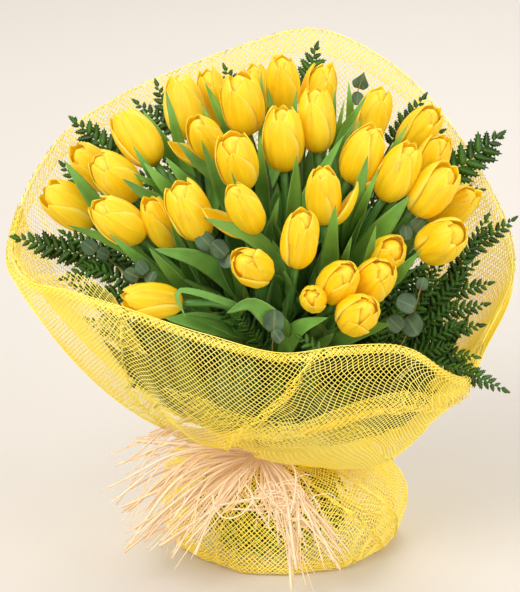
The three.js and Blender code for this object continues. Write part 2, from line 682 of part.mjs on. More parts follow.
// The front fold hangs outside the collar, from the left round to the front right
const FOLD_TURNS = [180, 195, 210, 225, 240, 255, 270, 285, 300, 315, 330];
const FOLD_LEVELS = [
  { level: 0.32, outset: 9 },
  { level: 0.64, outset: 6.5 },
  { level: 1, outset: 1.9 },
];

function frontFold(thickness) {
  const points = FOLD_LEVELS.flatMap(({ level, outset }) => FOLD_TURNS.map(
    (turn) => collarPoint(turn, level, outset)));
  return slab(points, gridTriangles(FOLD_LEVELS.length, FOLD_TURNS.length), thickness);
}

// The skirt: radius of its fullest part and of its hem, round the axis
const SKIRT = [
  { angle: 0, full: 133, hem: 118 },
  { angle: 45, full: 120, hem: 104 },
  { angle: 90, full: 110, hem: 94 },
  { angle: 135, full: 102, hem: 86 },
  { angle: 180, full: 98, hem: 82 },
  { angle: 225, full: 99, hem: 84 },
  { angle: 270, full: 106, hem: 98 },
  { angle: 315, full: 122, hem: 108 },
];
const SKIRT_COLUMNS = 24;
const SKIRT_LEVELS = [
  { height: SKIRT_TOP, out: 0 },
  { height: SKIRT_FLARE, out: 0 },
  { height: 84, out: 0.6 },
  { height: 46, out: 1 },
  { height: 20, out: 0.96 },
];
const PLEAT_DEPTH = 3;

function skirt(thickness) {
  const rows = SKIRT_LEVELS.map(({ height, out }) => (angle, pleat) => {
    const radius = NECK_RADIUS + (stationValue(SKIRT, angle, 'full') - NECK_RADIUS) * out;
    const fold = out > 0 ? pleat : 0;
    return aroundAxis(angle, radius + fold, height);
  });
  rows.push((angle, pleat) => aroundAxis(angle, stationValue(SKIRT, angle, 'hem') + pleat, thickness / 2));
  const points = rows.flatMap((place) => Array.from({ length: SKIRT_COLUMNS }, (_, column) => {
    const pleat = PLEAT_DEPTH * (column % 2 === 0 ? 1 : -1);
    return place(360 * column / SKIRT_COLUMNS, pleat);
  }));
  const triangles = gridTriangles(rows.length, SKIRT_COLUMNS, true).map(([a, b, c]) => [c, b, a]);
  return slab(points, triangles, thickness);
}

// Raffia: turns round the neck, and a tuft of loose tails below a knot at the front
const TIE_SECTION = [[0, -6.5], [3, -5], [2.2, -2], [3.4, 0.5], [2.4, 3], [2.8, 5], [0, 6.5]];
const TIE_SEGMENTS = 16;
const RAFFIA_HEIGHT = 103.8;

function raffiaTie() {
  const inner = NECK_RADIUS + NET_THICKNESS / 2 + GAP + 0.7;
  const profile = TIE_SECTION.map(([out, up]) => new THREE.Vector2(inner + out, RAFFIA_HEIGHT + up));
  profile.push(profile[0].clone());
  const geometry = new THREE.LatheGeometry(profile, TIE_SEGMENTS);
  geometry.rotateX(Math.PI / 2);
  return solidFromGeometry(geometry);
}

// Tails: end pixel, distance toward the viewer there, and a pixel on the way
const KNOT_PIXEL = [261, 456];
const KNOT_NEAR = 37.2;
const TAILS = [
  { way: [190, 438], end: [107, 470], near: 66 },
  { way: [185, 432], end: [140, 446], near: 60 },
  { way: [178, 458], end: [104, 505], near: 78 },
  { way: [182, 472], end: [123, 516], near: 84 },
  { way: [196, 462], end: [128, 532], near: 92 },
  { way: [190, 490], end: [127, 551], near: 98 },
  { way: [205, 492], end: [147, 557], near: 106 },
  { way: [212, 500], end: [172, 556], near: 112 },
  { way: [230, 490], end: [185, 563], near: 118 },
  { way: [243, 486], end: [231, 519], near: 112 },
  { way: [262, 496], end: [270, 520], near: 118 },
  { way: [276, 492], end: [292, 568], near: 124 },
  { way: [284, 500], end: [308, 588], near: 124 },
  { way: [292, 494], end: [346, 575], near: 118 },
  { way: [298, 490], end: [348, 562], near: 116 },
  { way: [288, 482], end: [300, 540], near: 120 },
];
const TAIL_RADIUS = 1.1;

function raffiaTails() {
  const knot = seen(KNOT_PIXEL, KNOT_NEAR);
  const knotGeometry = new THREE.SphereGeometry(5, 8, 6);
  knotGeometry.scale(1.5, 0.9, 1.1);
  knotGeometry.translate(knot.x, knot.y, knot.z);
  const solids = [solidFromGeometry(knotGeometry)];
  for (const { way, end, near } of TAILS) {
    const middle = seen(way, (KNOT_NEAR + near) / 2 + 14);
    solids.push(tube(through([knot, middle, seen(end, near)]), TAIL_RADIUS, 3, 3));
  }
  return joined(solids);
}

// Slots round the tie for the stalks of ferns and eucalyptus, in the order of their directions
const fernKeys = FERNS.map((fronds, index) => ({ kind: 'fern', index, azimuth: sprayAzimuth(fronds[0]) }));
const sprigKeys = EUCALYPTUS.map((entry, index) => {
  const { x, y } = seen(entry.root, entry.near * 0.92);
  return { kind: 'sprig', index, azimuth: Math.atan2(y, x) };
});
const sprays = [...fernKeys, ...sprigKeys].sort((a, b) => a.azimuth - b.azimuth);
const slots = { fern: [], sprig: [] };
sprays.forEach(({ kind, index }, place) => {
  slots[kind][index] = sprays[0].azimuth + 2 * Math.PI * place / sprays.length;
});

// Assembly
const twoDigits = (index) => String(index + 1).padStart(2, '0');
const floorCut = solidFromGeometry(new THREE.BoxGeometry(1200, 1200, 200).translate(0, 0, -100));

const blooms = BLOOMS.map(bloom);
blooms.forEach((solid, index) => addNode(`tulip_bloom_${twoDigits(index)}`, solid, BLOOM_LOOK));
const bloomCovers = joined(BLOOMS.map(bloomCover));

const stems = BLOOMS.map((entry, index) => stem(entry, index, STEM_RADIUS));
const leaves = LEAVES.map((entry, index) => leaf(entry, index, LEAF_THICKNESS));
const green = joined([pressedStems(), ...stems, ...leaves]).subtract(bloomCovers).subtract(floorCut);
addNode('tulip_stems_and_leaves', green, GREEN_LOOK);

const collarSolid = collar(NET_THICKNESS);
const foldSolid = frontFold(NET_THICKNESS);
addNode('net_collar', collarSolid, NET_LOOK);
addNode('net_front_fold', foldSolid, NET_LOOK);
addNode('net_skirt', skirt(NET_THICKNESS), NET_LOOK);
addNode('raffia_tie', raffiaTie(), RAFFIA_LOOK);
addNode('raffia_tails', raffiaTails(), RAFFIA_LOOK);

let taken = joined([
  ...BLOOMS.map((entry, index) => stem(entry, index, STEM_RADIUS + GAP)),
  ...LEAVES.map((entry, index) => leaf(entry, index, LEAF_THICKNESS + 2 * GAP)),
]).add(bloomCovers).add(collar(NET_THICKNESS + 2 * GAP)).add(frontFold(NET_THICKNESS + 2 * GAP));

EUCALYPTUS.forEach((entry, index) => {
  const slot = slots.sprig[index];
  addNode(`eucalyptus_sprig_${twoDigits(index)}`, sprig(entry, slot, EUCALYPTUS_THICKNESS, STALK_RADIUS).subtract(taken), EUCALYPTUS_LOOK);
  taken = taken.add(sprig(entry, slot, EUCALYPTUS_THICKNESS + 2 * GAP, STALK_RADIUS + GAP));
});

FERNS.forEach((fronds, index) => {
  const slot = slots.fern[index];
  const whole = joined(fronds.map((entry) => frond(entry, slot, FERN_THICKNESS, STALK_RADIUS)));
  addNode(`fern_frond_${twoDigits(index)}`, whole.subtract(taken), FERN_LOOK);
  taken = taken.add(joined(fronds.map((entry) => frond(entry, slot, FERN_THICKNESS + 2 * GAP, STALK_RADIUS + GAP))));
});

export default bunch;
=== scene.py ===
"""A hand-tied bunch of yellow tulips with fern and eucalyptus, in a net wrap tied with raffia.

Shapes are worked out in millimetres with numpy and put into the meshes in metres. +X runs to the
right, +Y to the back, and the origin is on the floor below the tie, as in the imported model.
"""

import math

import bpy
import numpy as np
from mathutils import Matrix, Vector


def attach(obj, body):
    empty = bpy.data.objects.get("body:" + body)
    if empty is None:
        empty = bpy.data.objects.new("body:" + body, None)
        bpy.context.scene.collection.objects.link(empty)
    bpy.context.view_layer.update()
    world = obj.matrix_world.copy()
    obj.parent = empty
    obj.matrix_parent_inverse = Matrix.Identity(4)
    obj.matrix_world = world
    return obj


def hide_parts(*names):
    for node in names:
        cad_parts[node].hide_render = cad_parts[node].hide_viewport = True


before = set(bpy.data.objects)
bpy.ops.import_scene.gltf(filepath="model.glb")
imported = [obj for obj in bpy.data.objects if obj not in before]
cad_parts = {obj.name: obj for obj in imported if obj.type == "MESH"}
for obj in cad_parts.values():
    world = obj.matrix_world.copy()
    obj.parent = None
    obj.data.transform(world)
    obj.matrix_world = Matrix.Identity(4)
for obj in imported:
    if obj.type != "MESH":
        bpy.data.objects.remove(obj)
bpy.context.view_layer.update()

MM = 0.001
TINY = 1e-9
TURN = 360.0
FRONT_TURN = 270
BODY = "root"

# Driving sizes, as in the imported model; stems run on below the floor before they are cut level
TIE_HEIGHT = 108.0
BLOOM_LENGTH = 62.0
STEM_RADIUS = 3.4
BUNDLE_RADIUS = 21.0
STEM_PITCH = 6.8
EASING_ROUNDS = 60
FOOT_RADIUS = 48.0
STEM_SUNK = 6.0
SPIRAL_TURN = math.radians(65)
NECK_RADIUS = 33.0
COLLAR_FOOT = 104.3
COLLAR_FLARE = 112.0
SPRAY_RING_RADIUS = 29.9
STALK_RADIUS = 1.1

# The front view that places are read in
PIXEL = 0.92
TIE_COLUMN = 265
TIE_ROW = 432
VIEW_RISE = math.radians(20)
RIGHT = np.array([1.0, 0.0, 0.0])
PICTURE_UP = np.array([0.0, math.sin(VIEW_RISE), math.cos(VIEW_RISE)])
TOWARD = np.array([0.0, -math.cos(VIEW_RISE), math.sin(VIEW_RISE)])
UP = np.array([0.0, 0.0, 1.0])
TIE = TIE_HEIGHT * UP

# Steps of a fine curve to each even step on it
FINE_STEPS = 12

# Uneven sizes and places are drawn one after the other from this start
FIRST_DRAW = 35
chance = np.random.default_rng(FIRST_DRAW)


# Places and curves


def seen(pixel, near):
    """A place from its pixel and its distance toward the viewer from the upright plane of the tie."""
    column, row = np.asarray(pixel, float)[..., 0], np.asarray(pixel, float)[..., 1]
    across = (column - TIE_COLUMN) * PIXEL
    rise = (TIE_ROW - row) * PIXEL
    near = np.broadcast_to(near, across.shape)
    return TIE + across[..., None] * RIGHT + rise[..., None] * PICTURE_UP + near[..., None] * TOWARD


def near_on_ray(pixel, outer_pixel, outer_near):
    """Distance toward the viewer of a lower point on the same ray out of the tie."""
    reach = math.dist(pixel, (TIE_COLUMN, TIE_ROW))
    return outer_near * reach / math.dist(outer_pixel, (TIE_COLUMN, TIE_ROW))


def length_of(vectors):
    """Root of the sum of squares, kept as a last axis of 1."""
    return np.sqrt((vectors ** 2).sum(-1, keepdims=True))


def unit(vectors):
    """Vectors of length 1 in the same directions."""
    return vectors / np.maximum(length_of(vectors), TINY)


def eased(places, values, at):
    """Smooth curve through stations: cubic Hermite pieces with central differences as slopes."""
    places = np.asarray(places, float)
    values = np.asarray(values, float)
    at = np.clip(np.asarray(at, float), places[0], places[-1])
    slopes = np.gradient(values, places, axis=0)
    piece = np.clip(np.searchsorted(places, at, side="right") - 1, 0, len(places) - 2)
    span = places[piece + 1] - places[piece]
    share = (at - places[piece]) / span
    if values.ndim > 1:
        span = span[..., None]
        share = share[..., None]
    rise = share ** 2 * (3 - 2 * share)
    start = share * (1 - share) ** 2 * span
    end = share ** 2 * (share - 1) * span
    level = values[piece] * (1 - rise) + values[piece + 1] * rise
    return level + slopes[piece] * start + slopes[piece + 1] * end


def eased_round(stations, turn, column):
    """The same curve through stations (degrees, value, ...) that closes on itself after a full turn."""
    table = np.asarray(stations, float)
    turns = np.concatenate([table[-2:, 0] - TURN, table[:, 0], table[:2, 0] + TURN])
    values = np.concatenate([table[-2:, column], table[:, column], table[:2, column]])
    return eased(turns, values, np.asarray(turn, float) % TURN)


def along_path(waypoints, count):
    """Points at even distances along a smooth curve through waypoints.

    The stations of the curve lie apart by the root of the distance between waypoints.
    """
    waypoints = np.asarray(waypoints, float)
    gaps = np.sqrt(length_of(np.diff(waypoints, axis=0))[:, 0])
    places = np.concatenate([[0], np.cumsum(gaps)])
    dense = eased(places, waypoints, np.linspace(0, places[-1], FINE_STEPS * count))
    run = np.concatenate([[0], np.cumsum(length_of(np.diff(dense, axis=0))[:, 0])])
    even = np.linspace(0, run[-1], count)
    return np.stack([np.interp(even, run, dense[:, axis]) for axis in range(3)], axis=1)


def round_axis(turn, radius, height):
    """Points round the upright axis, with the turn in degrees from the right."""
    turn = np.radians(turn)
    return np.stack(np.broadcast_arrays(radius * np.cos(turn), radius * np.sin(turn), height), axis=-1)


def sine_of(degrees):
    """The sine of angles in degrees."""
    return np.sin(np.radians(degrees))


def cosine_of(degrees):
    """The cosine of angles in degrees."""
    return np.cos(np.radians(degrees))


def row_of(count):
    """Even shares from 0 to 1 as a row."""
    return np.linspace(0, 1, count)[None, :]


def either_way(most, size=None):
    """Numbers drawn evenly from minus the most to the most."""
    return chance.uniform(-most, most, size)


def turned(vectors, axes, angles):
    """Vectors turned about unit axes by angles in radians (Rodrigues' formula)."""
    cosine = np.cos(angles)[..., None]
    sine = np.sin(angles)[..., None]
    lean = (axes * vectors).sum(-1, keepdims=True)
    return vectors * cosine + np.cross(axes, vectors) * sine + axes * lean * (1 - cosine)


# Meshes


class Shape:
    """Points in millimetres, faces as index arrays of one width each, and values kept at the points."""

    def __init__(self, points, faces, **values):
        self.points = points.reshape(-1, 3)
        self.faces = faces
        self.values = values


def together(shapes):
    """One shape from several that keep the same values."""
    starts = np.cumsum([0] + [len(shape.points) for shape in shapes])
    faces = [face + start for shape, start in zip(shapes, starts) for face in shape.faces]
    names = shapes[0].values
    values = {name: np.concatenate([shape.values[name] for shape in shapes]) for name in names}
    return Shape(np.concatenate([shape.points for shape in shapes]), faces, **values)


def piece(name, shape, material, slot, *nodes):
    """A finished object: the shape as a smooth mesh that rides on the body and stands for CAD nodes."""
    mesh = bpy.data.meshes.new(name)
    corners = np.concatenate([face.ravel() for face in shape.faces]).astype(np.int32)
    sizes = np.concatenate([np.full(len(face), face.shape[1]) for face in shape.faces])
    mesh.vertices.add(len(shape.points))
    mesh.vertices.foreach_set("co", (shape.points * MM).astype(np.float32).ravel())
    mesh.loops.add(len(corners))
    mesh.loops.foreach_set("vertex_index", corners)
    mesh.polygons.add(len(sizes))
    mesh.polygons.foreach_set("loop_start", (np.cumsum(sizes) - sizes).astype(np.int32))
    mesh.polygons.foreach_set("use_smooth", np.ones(len(sizes), bool))
    if "uv" in shape.values:
        layer = mesh.uv_layers.new(name="blade")
        layer.data.foreach_set("uv", shape.values["uv"][corners].astype(np.float32).ravel())
    if "tone" in shape.values:
        tone = mesh.attributes.new("tone", "FLOAT", "POINT")
        tone.data.foreach_set("value", shape.values["tone"].astype(np.float32))
    mesh.update(calc_edges=True)
    mesh.materials.append(material)
    made = bpy.data.objects.new(name, mesh)
    bpy.context.scene.collection.objects.link(made)
    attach(made, BODY)
    if nodes:
        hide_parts(*nodes)
    return made


def quads_between(first, second, third, fourth):
    """Faces with four corners from four arrays of point numbers of one shape."""
    return np.stack([first, second, third, fourth], axis=-1).reshape(-1, 4)


def closed_blades(middle, thickness, tone):
    """Closed thin forms from middle surfaces of shape (blades, rows, columns, 3).

    The upper and the lower face lie half a thickness to each side along the normal, which is the
    cross product of the steps across and along. The thickness runs out to nothing at the border,
    where both faces share their points.
    """
    blades, rows, columns = middle.shape[:3]
    normal = unit(np.cross(np.gradient(middle, axis=2), np.gradient(middle, axis=1)))
    across = np.linspace(-1, 1, columns)[None, :]
    along = np.linspace(-1, 1, rows)[:, None]
    body = np.sqrt(np.clip((1 - across ** 2) * (1 - along ** 6), 0, 1))
    offset = normal * (thickness / 2 * body)[None, :, :, None]
    inside = np.zeros((rows, columns), bool)
    inside[1:-1, 1:-1] = True
    upper_index = np.arange(rows * columns).reshape(rows, columns)
    lower_index = upper_index.copy()
    lower_index[inside] = rows * columns + np.arange(inside.sum())
    points = np.concatenate(
        [(middle + offset).reshape(blades, -1, 3), (middle - offset)[:, inside]], axis=1)
    upper = quads_between(
        upper_index[:-1, :-1], upper_index[:-1, 1:], upper_index[1:, 1:], upper_index[1:, :-1])
    lower = quads_between(
        lower_index[1:, :-1], lower_index[1:, 1:], lower_index[:-1, 1:], lower_index[:-1, :-1])
    starts = np.arange(blades)[:, None, None] * points.shape[1]
    faces = (np.concatenate([upper, lower])[None] + starts).reshape(-1, 4)
    grid = np.stack(np.broadcast_arrays((across + 1) / 2, (along + 1) / 2), axis=-1)
    uv = np.concatenate([grid.reshape(-1, 2), grid[inside]])
    tones = np.broadcast_to(np.asarray(tone, float), (blades,))
    return Shape(
        points,
        [faces],
        uv=np.tile(uv, (blades, 1)),
        tone=np.repeat(tones, points.shape[1]),
    )


def tubes(paths, normals, wide, thick, sides, kept=None, tone=0.0):
    """Closed tubes round paths of shape (tubes, stations, 3).

    A section is an ellipse of half widths wide along the side vector (normal x tangent) and thick
    along the normal. kept marks the stretches between stations that are there; each run of them is
    closed at both ends.
    """
    count, stations = paths.shape[:2]
    tangents = unit(np.gradient(paths, axis=1))
    normals = unit(normals - tangents * (normals * tangents).sum(-1, keepdims=True))
    side = np.cross(normals, tangents)
    wide = np.broadcast_to(wide, (count, stations))[..., None, None]
    thick = np.broadcast_to(thick, (count, stations))[..., None, None]
    turn = 2 * np.pi * (np.arange(sides) / sides) + np.pi / 2
    sideways = side[:, :, None] * np.cos(turn)[:, None] * wide
    upwards = normals[:, :, None] * np.sin(turn)[:, None] * thick
    points = paths[:, :, None] + (sideways + upwards)
    if kept is None:
        kept = np.ones((count, stations - 1), bool)
    index = np.arange(count * stations * sides).reshape(count, stations, sides)
    ahead = np.roll(index, -1, axis=2)
    walls = quads_between(index[:, :-1], ahead[:, :-1], ahead[:, 1:], index[:, 1:])
    walls = walls.reshape(count, stations - 1, sides, 4)[kept].reshape(-1, 4)
    before = np.pad(kept, ((0, 0), (1, 0)))[:, :-1]
    after = np.pad(kept, ((0, 0), (0, 1)))[:, 1:]
    low_caps = index[:, :-1][kept & ~before][:, ::-1]
    high_caps = index[:, 1:][kept & ~after]
    faces = [walls, low_caps, high_caps]
    used, back = np.unique(np.concatenate([face.ravel() for face in faces]), return_inverse=True)
    cuts = np.cumsum([face.size for face in faces])[:-1]
    faces = [part.reshape(face.shape) for part, face in zip(np.split(back, cuts), faces)]
    around = np.broadcast_to(np.arange(sides) / sides, (count, stations, sides))
    along = np.broadcast_to(np.linspace(0, 1, stations)[:, None], (count, stations, sides))
    uv = np.stack([around, along], axis=-1).reshape(-1, 2)
    tones = np.broadcast_to(np.asarray(tone, float), (count,))
    tones = np.repeat(tones, stations * sides)
    return Shape(points.reshape(-1, 3)[used], faces, uv=uv[used], tone=tones[used])


def round_tubes(paths, radius, sides, tone=0.0):
    """Round tubes whose section starts from the world axis that their chord leans away from most."""
    paths = np.asarray(paths)
    chord = unit(paths[:, -1] - paths[:, 0])
    reference = np.eye(3)[np.abs(chord).argmin(-1)]
    normals = np.broadcast_to(reference[:, None], paths.shape)
    return tubes(paths, normals, radius, radius, sides, tone=tone)


# Finishes


# Numbers of the Mix node's sockets for its two colours and its result
MIX_FIRST = 6
MIX_SECOND = 7
MIX_RESULT = 2


class Wire:
    """One socket of a material; arithmetic on it adds Math nodes."""

    def __init__(self, paint, socket):
        self.paint = paint
        self.socket = socket

    def _with(self, operation, first, second):
        """The wire of a Math node on two wires or numbers."""
        return self.paint.node("ShaderNodeMath", {"operation": operation}, {0: first, 1: second})

    # Sums, differences and products with other wires or numbers

    def __add__(self, other):
        return self._with("ADD", self, other)

    def __radd__(self, other):
        return self._with("ADD", other, self)

    def __sub__(self, other):
        return self._with("SUBTRACT", self, other)

    def __rsub__(self, other):
        return self._with("SUBTRACT", other, self)

    def __mul__(self, other):
        return self._with("MULTIPLY", self, other)

    def __rmul__(self, other):
        return self._with("MULTIPLY", other, self)

    def absolute(self):
        """The value without its sign."""
        return self.paint.node("ShaderNodeMath", {"operation": "ABSOLUTE"}, {0: self})

    def between(self, low, high):
        """0 below low, 1 above high, and smooth in between."""
        inputs = {"Value": self, "From Min": low, "From Max": high}
        return self.paint.node("ShaderNodeMapRange", {"interpolation_type": "SMOOTHSTEP"}, inputs)


class Paint:
    """A material on one Principled shader; its own sockets take plain values, or wires that vary."""

    def __init__(self, name, **fixed):
        self.material = bpy.data.materials.new(name)
        self.material.use_nodes = True
        self.tree = self.material.node_tree
        self.shader = self.tree.nodes["Principled BSDF"]
        for socket, value in fixed.items():
            self.shader.inputs[socket.replace("_", " ")].default_value = value

    def node(self, kind, settings=None, inputs=None, output=0):
        """A node with its settings, its input values or wires, and one of its outputs as a wire."""
        made = self.tree.nodes.new(kind)
        for name, value in (settings or {}).items():
            setattr(made, name, value)
        for name, value in (inputs or {}).items():
            if isinstance(value, Wire):
                self.tree.links.new(value.socket, made.inputs[name])
            else:
                made.inputs[name].default_value = value
        return Wire(self, made.outputs[output])

    def uv(self):
        """The place on a petal, leaf or strand, from 0 to 1 across it and along it."""
        return self.node("ShaderNodeUVMap", {"uv_map": "blade"})

    def tone(self):
        """The tone kept at the points: one for each petal, leaf or strand."""
        return self.node("ShaderNodeAttribute", {"attribute_name": "tone"}, output="Fac")

    def place(self):
        """The place in the object, in metres."""
        return self.node("ShaderNodeTexCoord", output="Object")

    def scaled(self, vector, scale):
        """A vector with each of its parts multiplied by that of the scale."""
        return self.node("ShaderNodeVectorMath", {"operation": "MULTIPLY"}, {0: vector, 1: scale})

    def blade(self):
        """Distance from the middle line of a petal or leaf (up to 0.5), and distance along it."""
        axes = ("X", "Y")
        across, along = [
            self.node("ShaderNodeSeparateXYZ", {}, {0: self.uv()}, axis) for axis in axes]
        return (across - 0.5).absolute(), along

    def noise(self, vector, scale, detail=2.0, roughness=0.5):
        """Soft noise at a place, round 0.5."""
        inputs = {"Vector": vector, "Scale": scale, "Detail": detail, "Roughness": roughness}
        return self.node("ShaderNodeTexNoise", {"noise_dimensions": "3D"}, inputs, "Fac")

    def mixed(self, factor, first, second):
        """A colour between two, each a hexadecimal colour or a wire."""
        inputs = {"Factor": factor}
        for socket, colour in ((MIX_FIRST, first), (MIX_SECOND, second)):
            inputs[socket] = rgb(colour) if isinstance(colour, str) else colour
        return self.node("ShaderNodeMix", {"data_type": "RGBA"}, inputs, MIX_RESULT)

    def layered(self, body, *layers):
        """A colour with others laid over it in turn, each by its share."""
        for share, colour in layers:
            body = self.mixed(share, body, colour)
        return body

    def finished(self, relief, **wires):
        """The material with wires on sockets of its shader.

        Relief is a wire of heights, its strength and its distance in millimetres, or None.
        """
        if relief:
            height, strength, distance = relief
            inputs = {"Strength": strength, "Distance": distance * MM, "Height": height}
            wires["Normal"] = self.node("ShaderNodeBump", {}, inputs, "Normal")
        for socket, wire in wires.items():
            self.tree.links.new(wire.socket, self.shader.inputs[socket.replace("_", " ")])
        return self.material


def rgb(hexadecimal):
    """A colour as it shows on a screen, in the linear values that shaders take (sRGB curve)."""
    shares = [int(hexadecimal[i:i + 2], 16) / 255 for i in (0, 2, 4)]
    linear = [
        share / 12.92 if share <= 0.04045 else ((share + 0.055) / 1.055) ** 2.4
        for share in shares
    ]
    return (*linear, 1.0)


def petal_skin():
    """Yellow petals: fine streaks along the petal, a deeper foot and a paler rim, with a faint painted
    glow of their own colour that lifts the shade between them.
    """
    paint = Paint("tulip_petal", Subsurface_Weight=0.35, Subsurface_Scale=0.005, Emission_Strength=0.07)
    paint.shader.inputs["Subsurface Radius"].default_value = (1.0, 0.72, 0.1)
    from_middle, along = paint.blade()
    streaks = paint.noise(paint.scaled(paint.uv(), (24.0, 1.4, 1.0)), 2.0, 4.0)
    clouds = paint.noise(paint.place(), 45.0, 2.0)
    body = paint.layered(
        paint.mixed(streaks.between(0.3, 0.7), "f2ba00", "ffd714"),
        (clouds.between(0.35, 0.7) * 0.45, "ffe02a"),
        ((1 - from_middle.between(0.0, 0.12)) * 0.35, "f5b800"),
        (from_middle.between(0.3, 0.5) * 0.7, "ffec66"),
        (along.between(0.7, 1.0) * 0.35, "ffe950"),
        ((1 - along.between(0.0, 0.14)) * 0.55, "dcbf1e"),
        (paint.tone() * 0.3, "fcc307"),
    )
    roughness = 0.4 + streaks * 0.16
    # The body colour also feeds the emission: a faint painted glow standing in for light let through,
    # which lifts the shade in the seams
    return paint.finished(
        (streaks, 0.6, 0.5), Base_Color=body, Emission_Color=body, Roughness=roughness)


def leaf_skin():
    """Tulip leaves: fine parallel veins, a paler margin and foot, and a tone for each leaf."""
    paint = Paint("tulip_leaf", Roughness=0.42)
    from_middle, along = paint.blade()
    veins = paint.noise(paint.scaled(paint.uv(), (34.0, 1.2, 1.0)), 2.0, 3.0)
    clouds = paint.noise(paint.place(), 30.0, 2.0)
    body = paint.layered(
        paint.mixed(paint.tone(), "16360c", "7cc04e"),
        (veins.between(0.35, 0.7) * (0.2 + 0.4 * paint.tone()), "8fb755"),
        (clouds.between(0.4, 0.75) * 0.4, "2b5c1f"),
        (from_middle.between(0.40, 0.5) * 0.5, "9cc06a"),
        ((1 - along.between(0.0, 0.35)) * paint.tone() * 0.6, "7da758"),
    )
    return paint.finished((veins, 0.6, 0.35), Base_Color=body, Roughness=0.36 + veins * 0.2)


def stem_skin():
    """Tulip stems: smooth pale green, streaked lengthwise."""
    paint = Paint("tulip_stem", Roughness=0.45)
    streaks = paint.noise(paint.scaled(paint.uv(), (9.0, 3.0, 1.0)), 2.0, 3.0)
    body = paint.mixed(streaks.between(0.3, 0.7), "3f7a2c", "6b9d48")
    body = paint.mixed(paint.tone() * 0.4, body, "2f6526")
    return paint.finished((streaks, 0.4, 0.2), Base_Color=body)


def fern_skin():
    """Fern leaflets: dark and glossy, with a lighter rib."""
    paint = Paint("fern_leaf", Specular_IOR_Level=0.35)
    from_middle, _ = paint.blade()
    rib = 1 - from_middle.between(0.03, 0.16)
    clouds = paint.noise(paint.place(), 60.0, 2.0)
    body = paint.layered(
        paint.mixed(paint.tone(), "183203", "3c6a14"),
        (clouds.between(0.4, 0.7) * 0.45, "3e7018"),
        (rib * 0.35, "5c8832"),
    )
    heights = clouds + rib * 0.4
    return paint.finished((heights, 0.5, 0.3), Base_Color=body, Roughness=0.3 + clouds * 0.22)


def eucalyptus_skin():
    """Eucalyptus leaves: matt grey-green bloom over the leaf, a pale rib and a brown foot."""
    paint = Paint("eucalyptus_leaf", Roughness=0.6)
    from_middle, along = paint.blade()
    bloom_over = paint.noise(paint.place(), 70.0, 4.0)
    body = paint.layered(
        paint.mixed(bloom_over.between(0.3, 0.7), "364c32", "577654"),
        ((1 - from_middle.between(0.01, 0.07)) * 0.55, "83936a"),
        ((1 - along.between(0.0, 0.1)) * 0.5, "a98a4e"),
        (paint.tone() * 0.4, "48674b"),
    )
    return paint.finished((bloom_over, 0.3, 0.3), Base_Color=body)


def stalk_skin():
    """Stalks of the sprays: olive-brown bark for eucalyptus (tone 0) and dark green for fern (tone 1)."""
    paint = Paint("spray_stalk", Roughness=0.55)
    bark = paint.noise(paint.place(), 55.0, 3.0)
    body = paint.mixed(bark.between(0.4, 0.65), "94743a", "786e34")
    body = paint.mixed(paint.tone(), body, "2c4414")
    return paint.finished((bark, 0.4, 0.2), Base_Color=body)


def net_thread():
    """Net threads: lemon fibre, paler and deeper in stretches, with a painted golden glow (emission) that
    stands in for light let through and turns the net golden where it is in shade.
    """
    paint = Paint("net_thread", Sheen_Weight=0.2, Emission_Strength=0.22)
    stretches = paint.noise(paint.place(), 18.0, 2.0)
    fibres = paint.noise(paint.place(), 600.0, 2.0)
    body = paint.mixed(stretches.between(0.35, 0.65), "fff03a", "fff66e")
    body = paint.mixed(fibres.between(0.4, 0.7) * 0.5, body, "fffab0")
    # Painted glow: golden emission that stands in for light let through the net and shows most in its
    # shade
    painted_glow = paint.mixed(stretches, "ffb600", "ffca24")
    return paint.finished(
        None, Base_Color=body, Emission_Color=painted_glow, Roughness=0.35 + fibres * 0.25)


def raffia_fibre():
    """Raffia: dry cream fibre, streaked with tan along each strand, with a faint painted glow of its own
    colour that lifts its shade.
    """
    paint = Paint("raffia_fibre", Roughness=0.62, Sheen_Weight=0.15, Emission_Strength=0.17)
    streaks = paint.noise(paint.scaled(paint.uv(), (5.0, 22.0, 1.0)), 3.0, 4.0)
    patches = paint.noise(paint.place(), 40.0, 2.0)
    body = paint.layered(
        paint.mixed(streaks.between(0.35, 0.7), "f1cc98", "feecd2"),
        (patches.between(0.45, 0.75) * 0.4, "eabf86"),
        (paint.tone() * 0.4, "fbedd6"),
        ((1 - paint.tone()) * 0.4, "dcab70"),
    )
    # The body colour also feeds the emission: a painted glow that lifts the shade among the strands
    return paint.finished((streaks, 0.6, 0.3), Base_Color=body, Emission_Color=body)


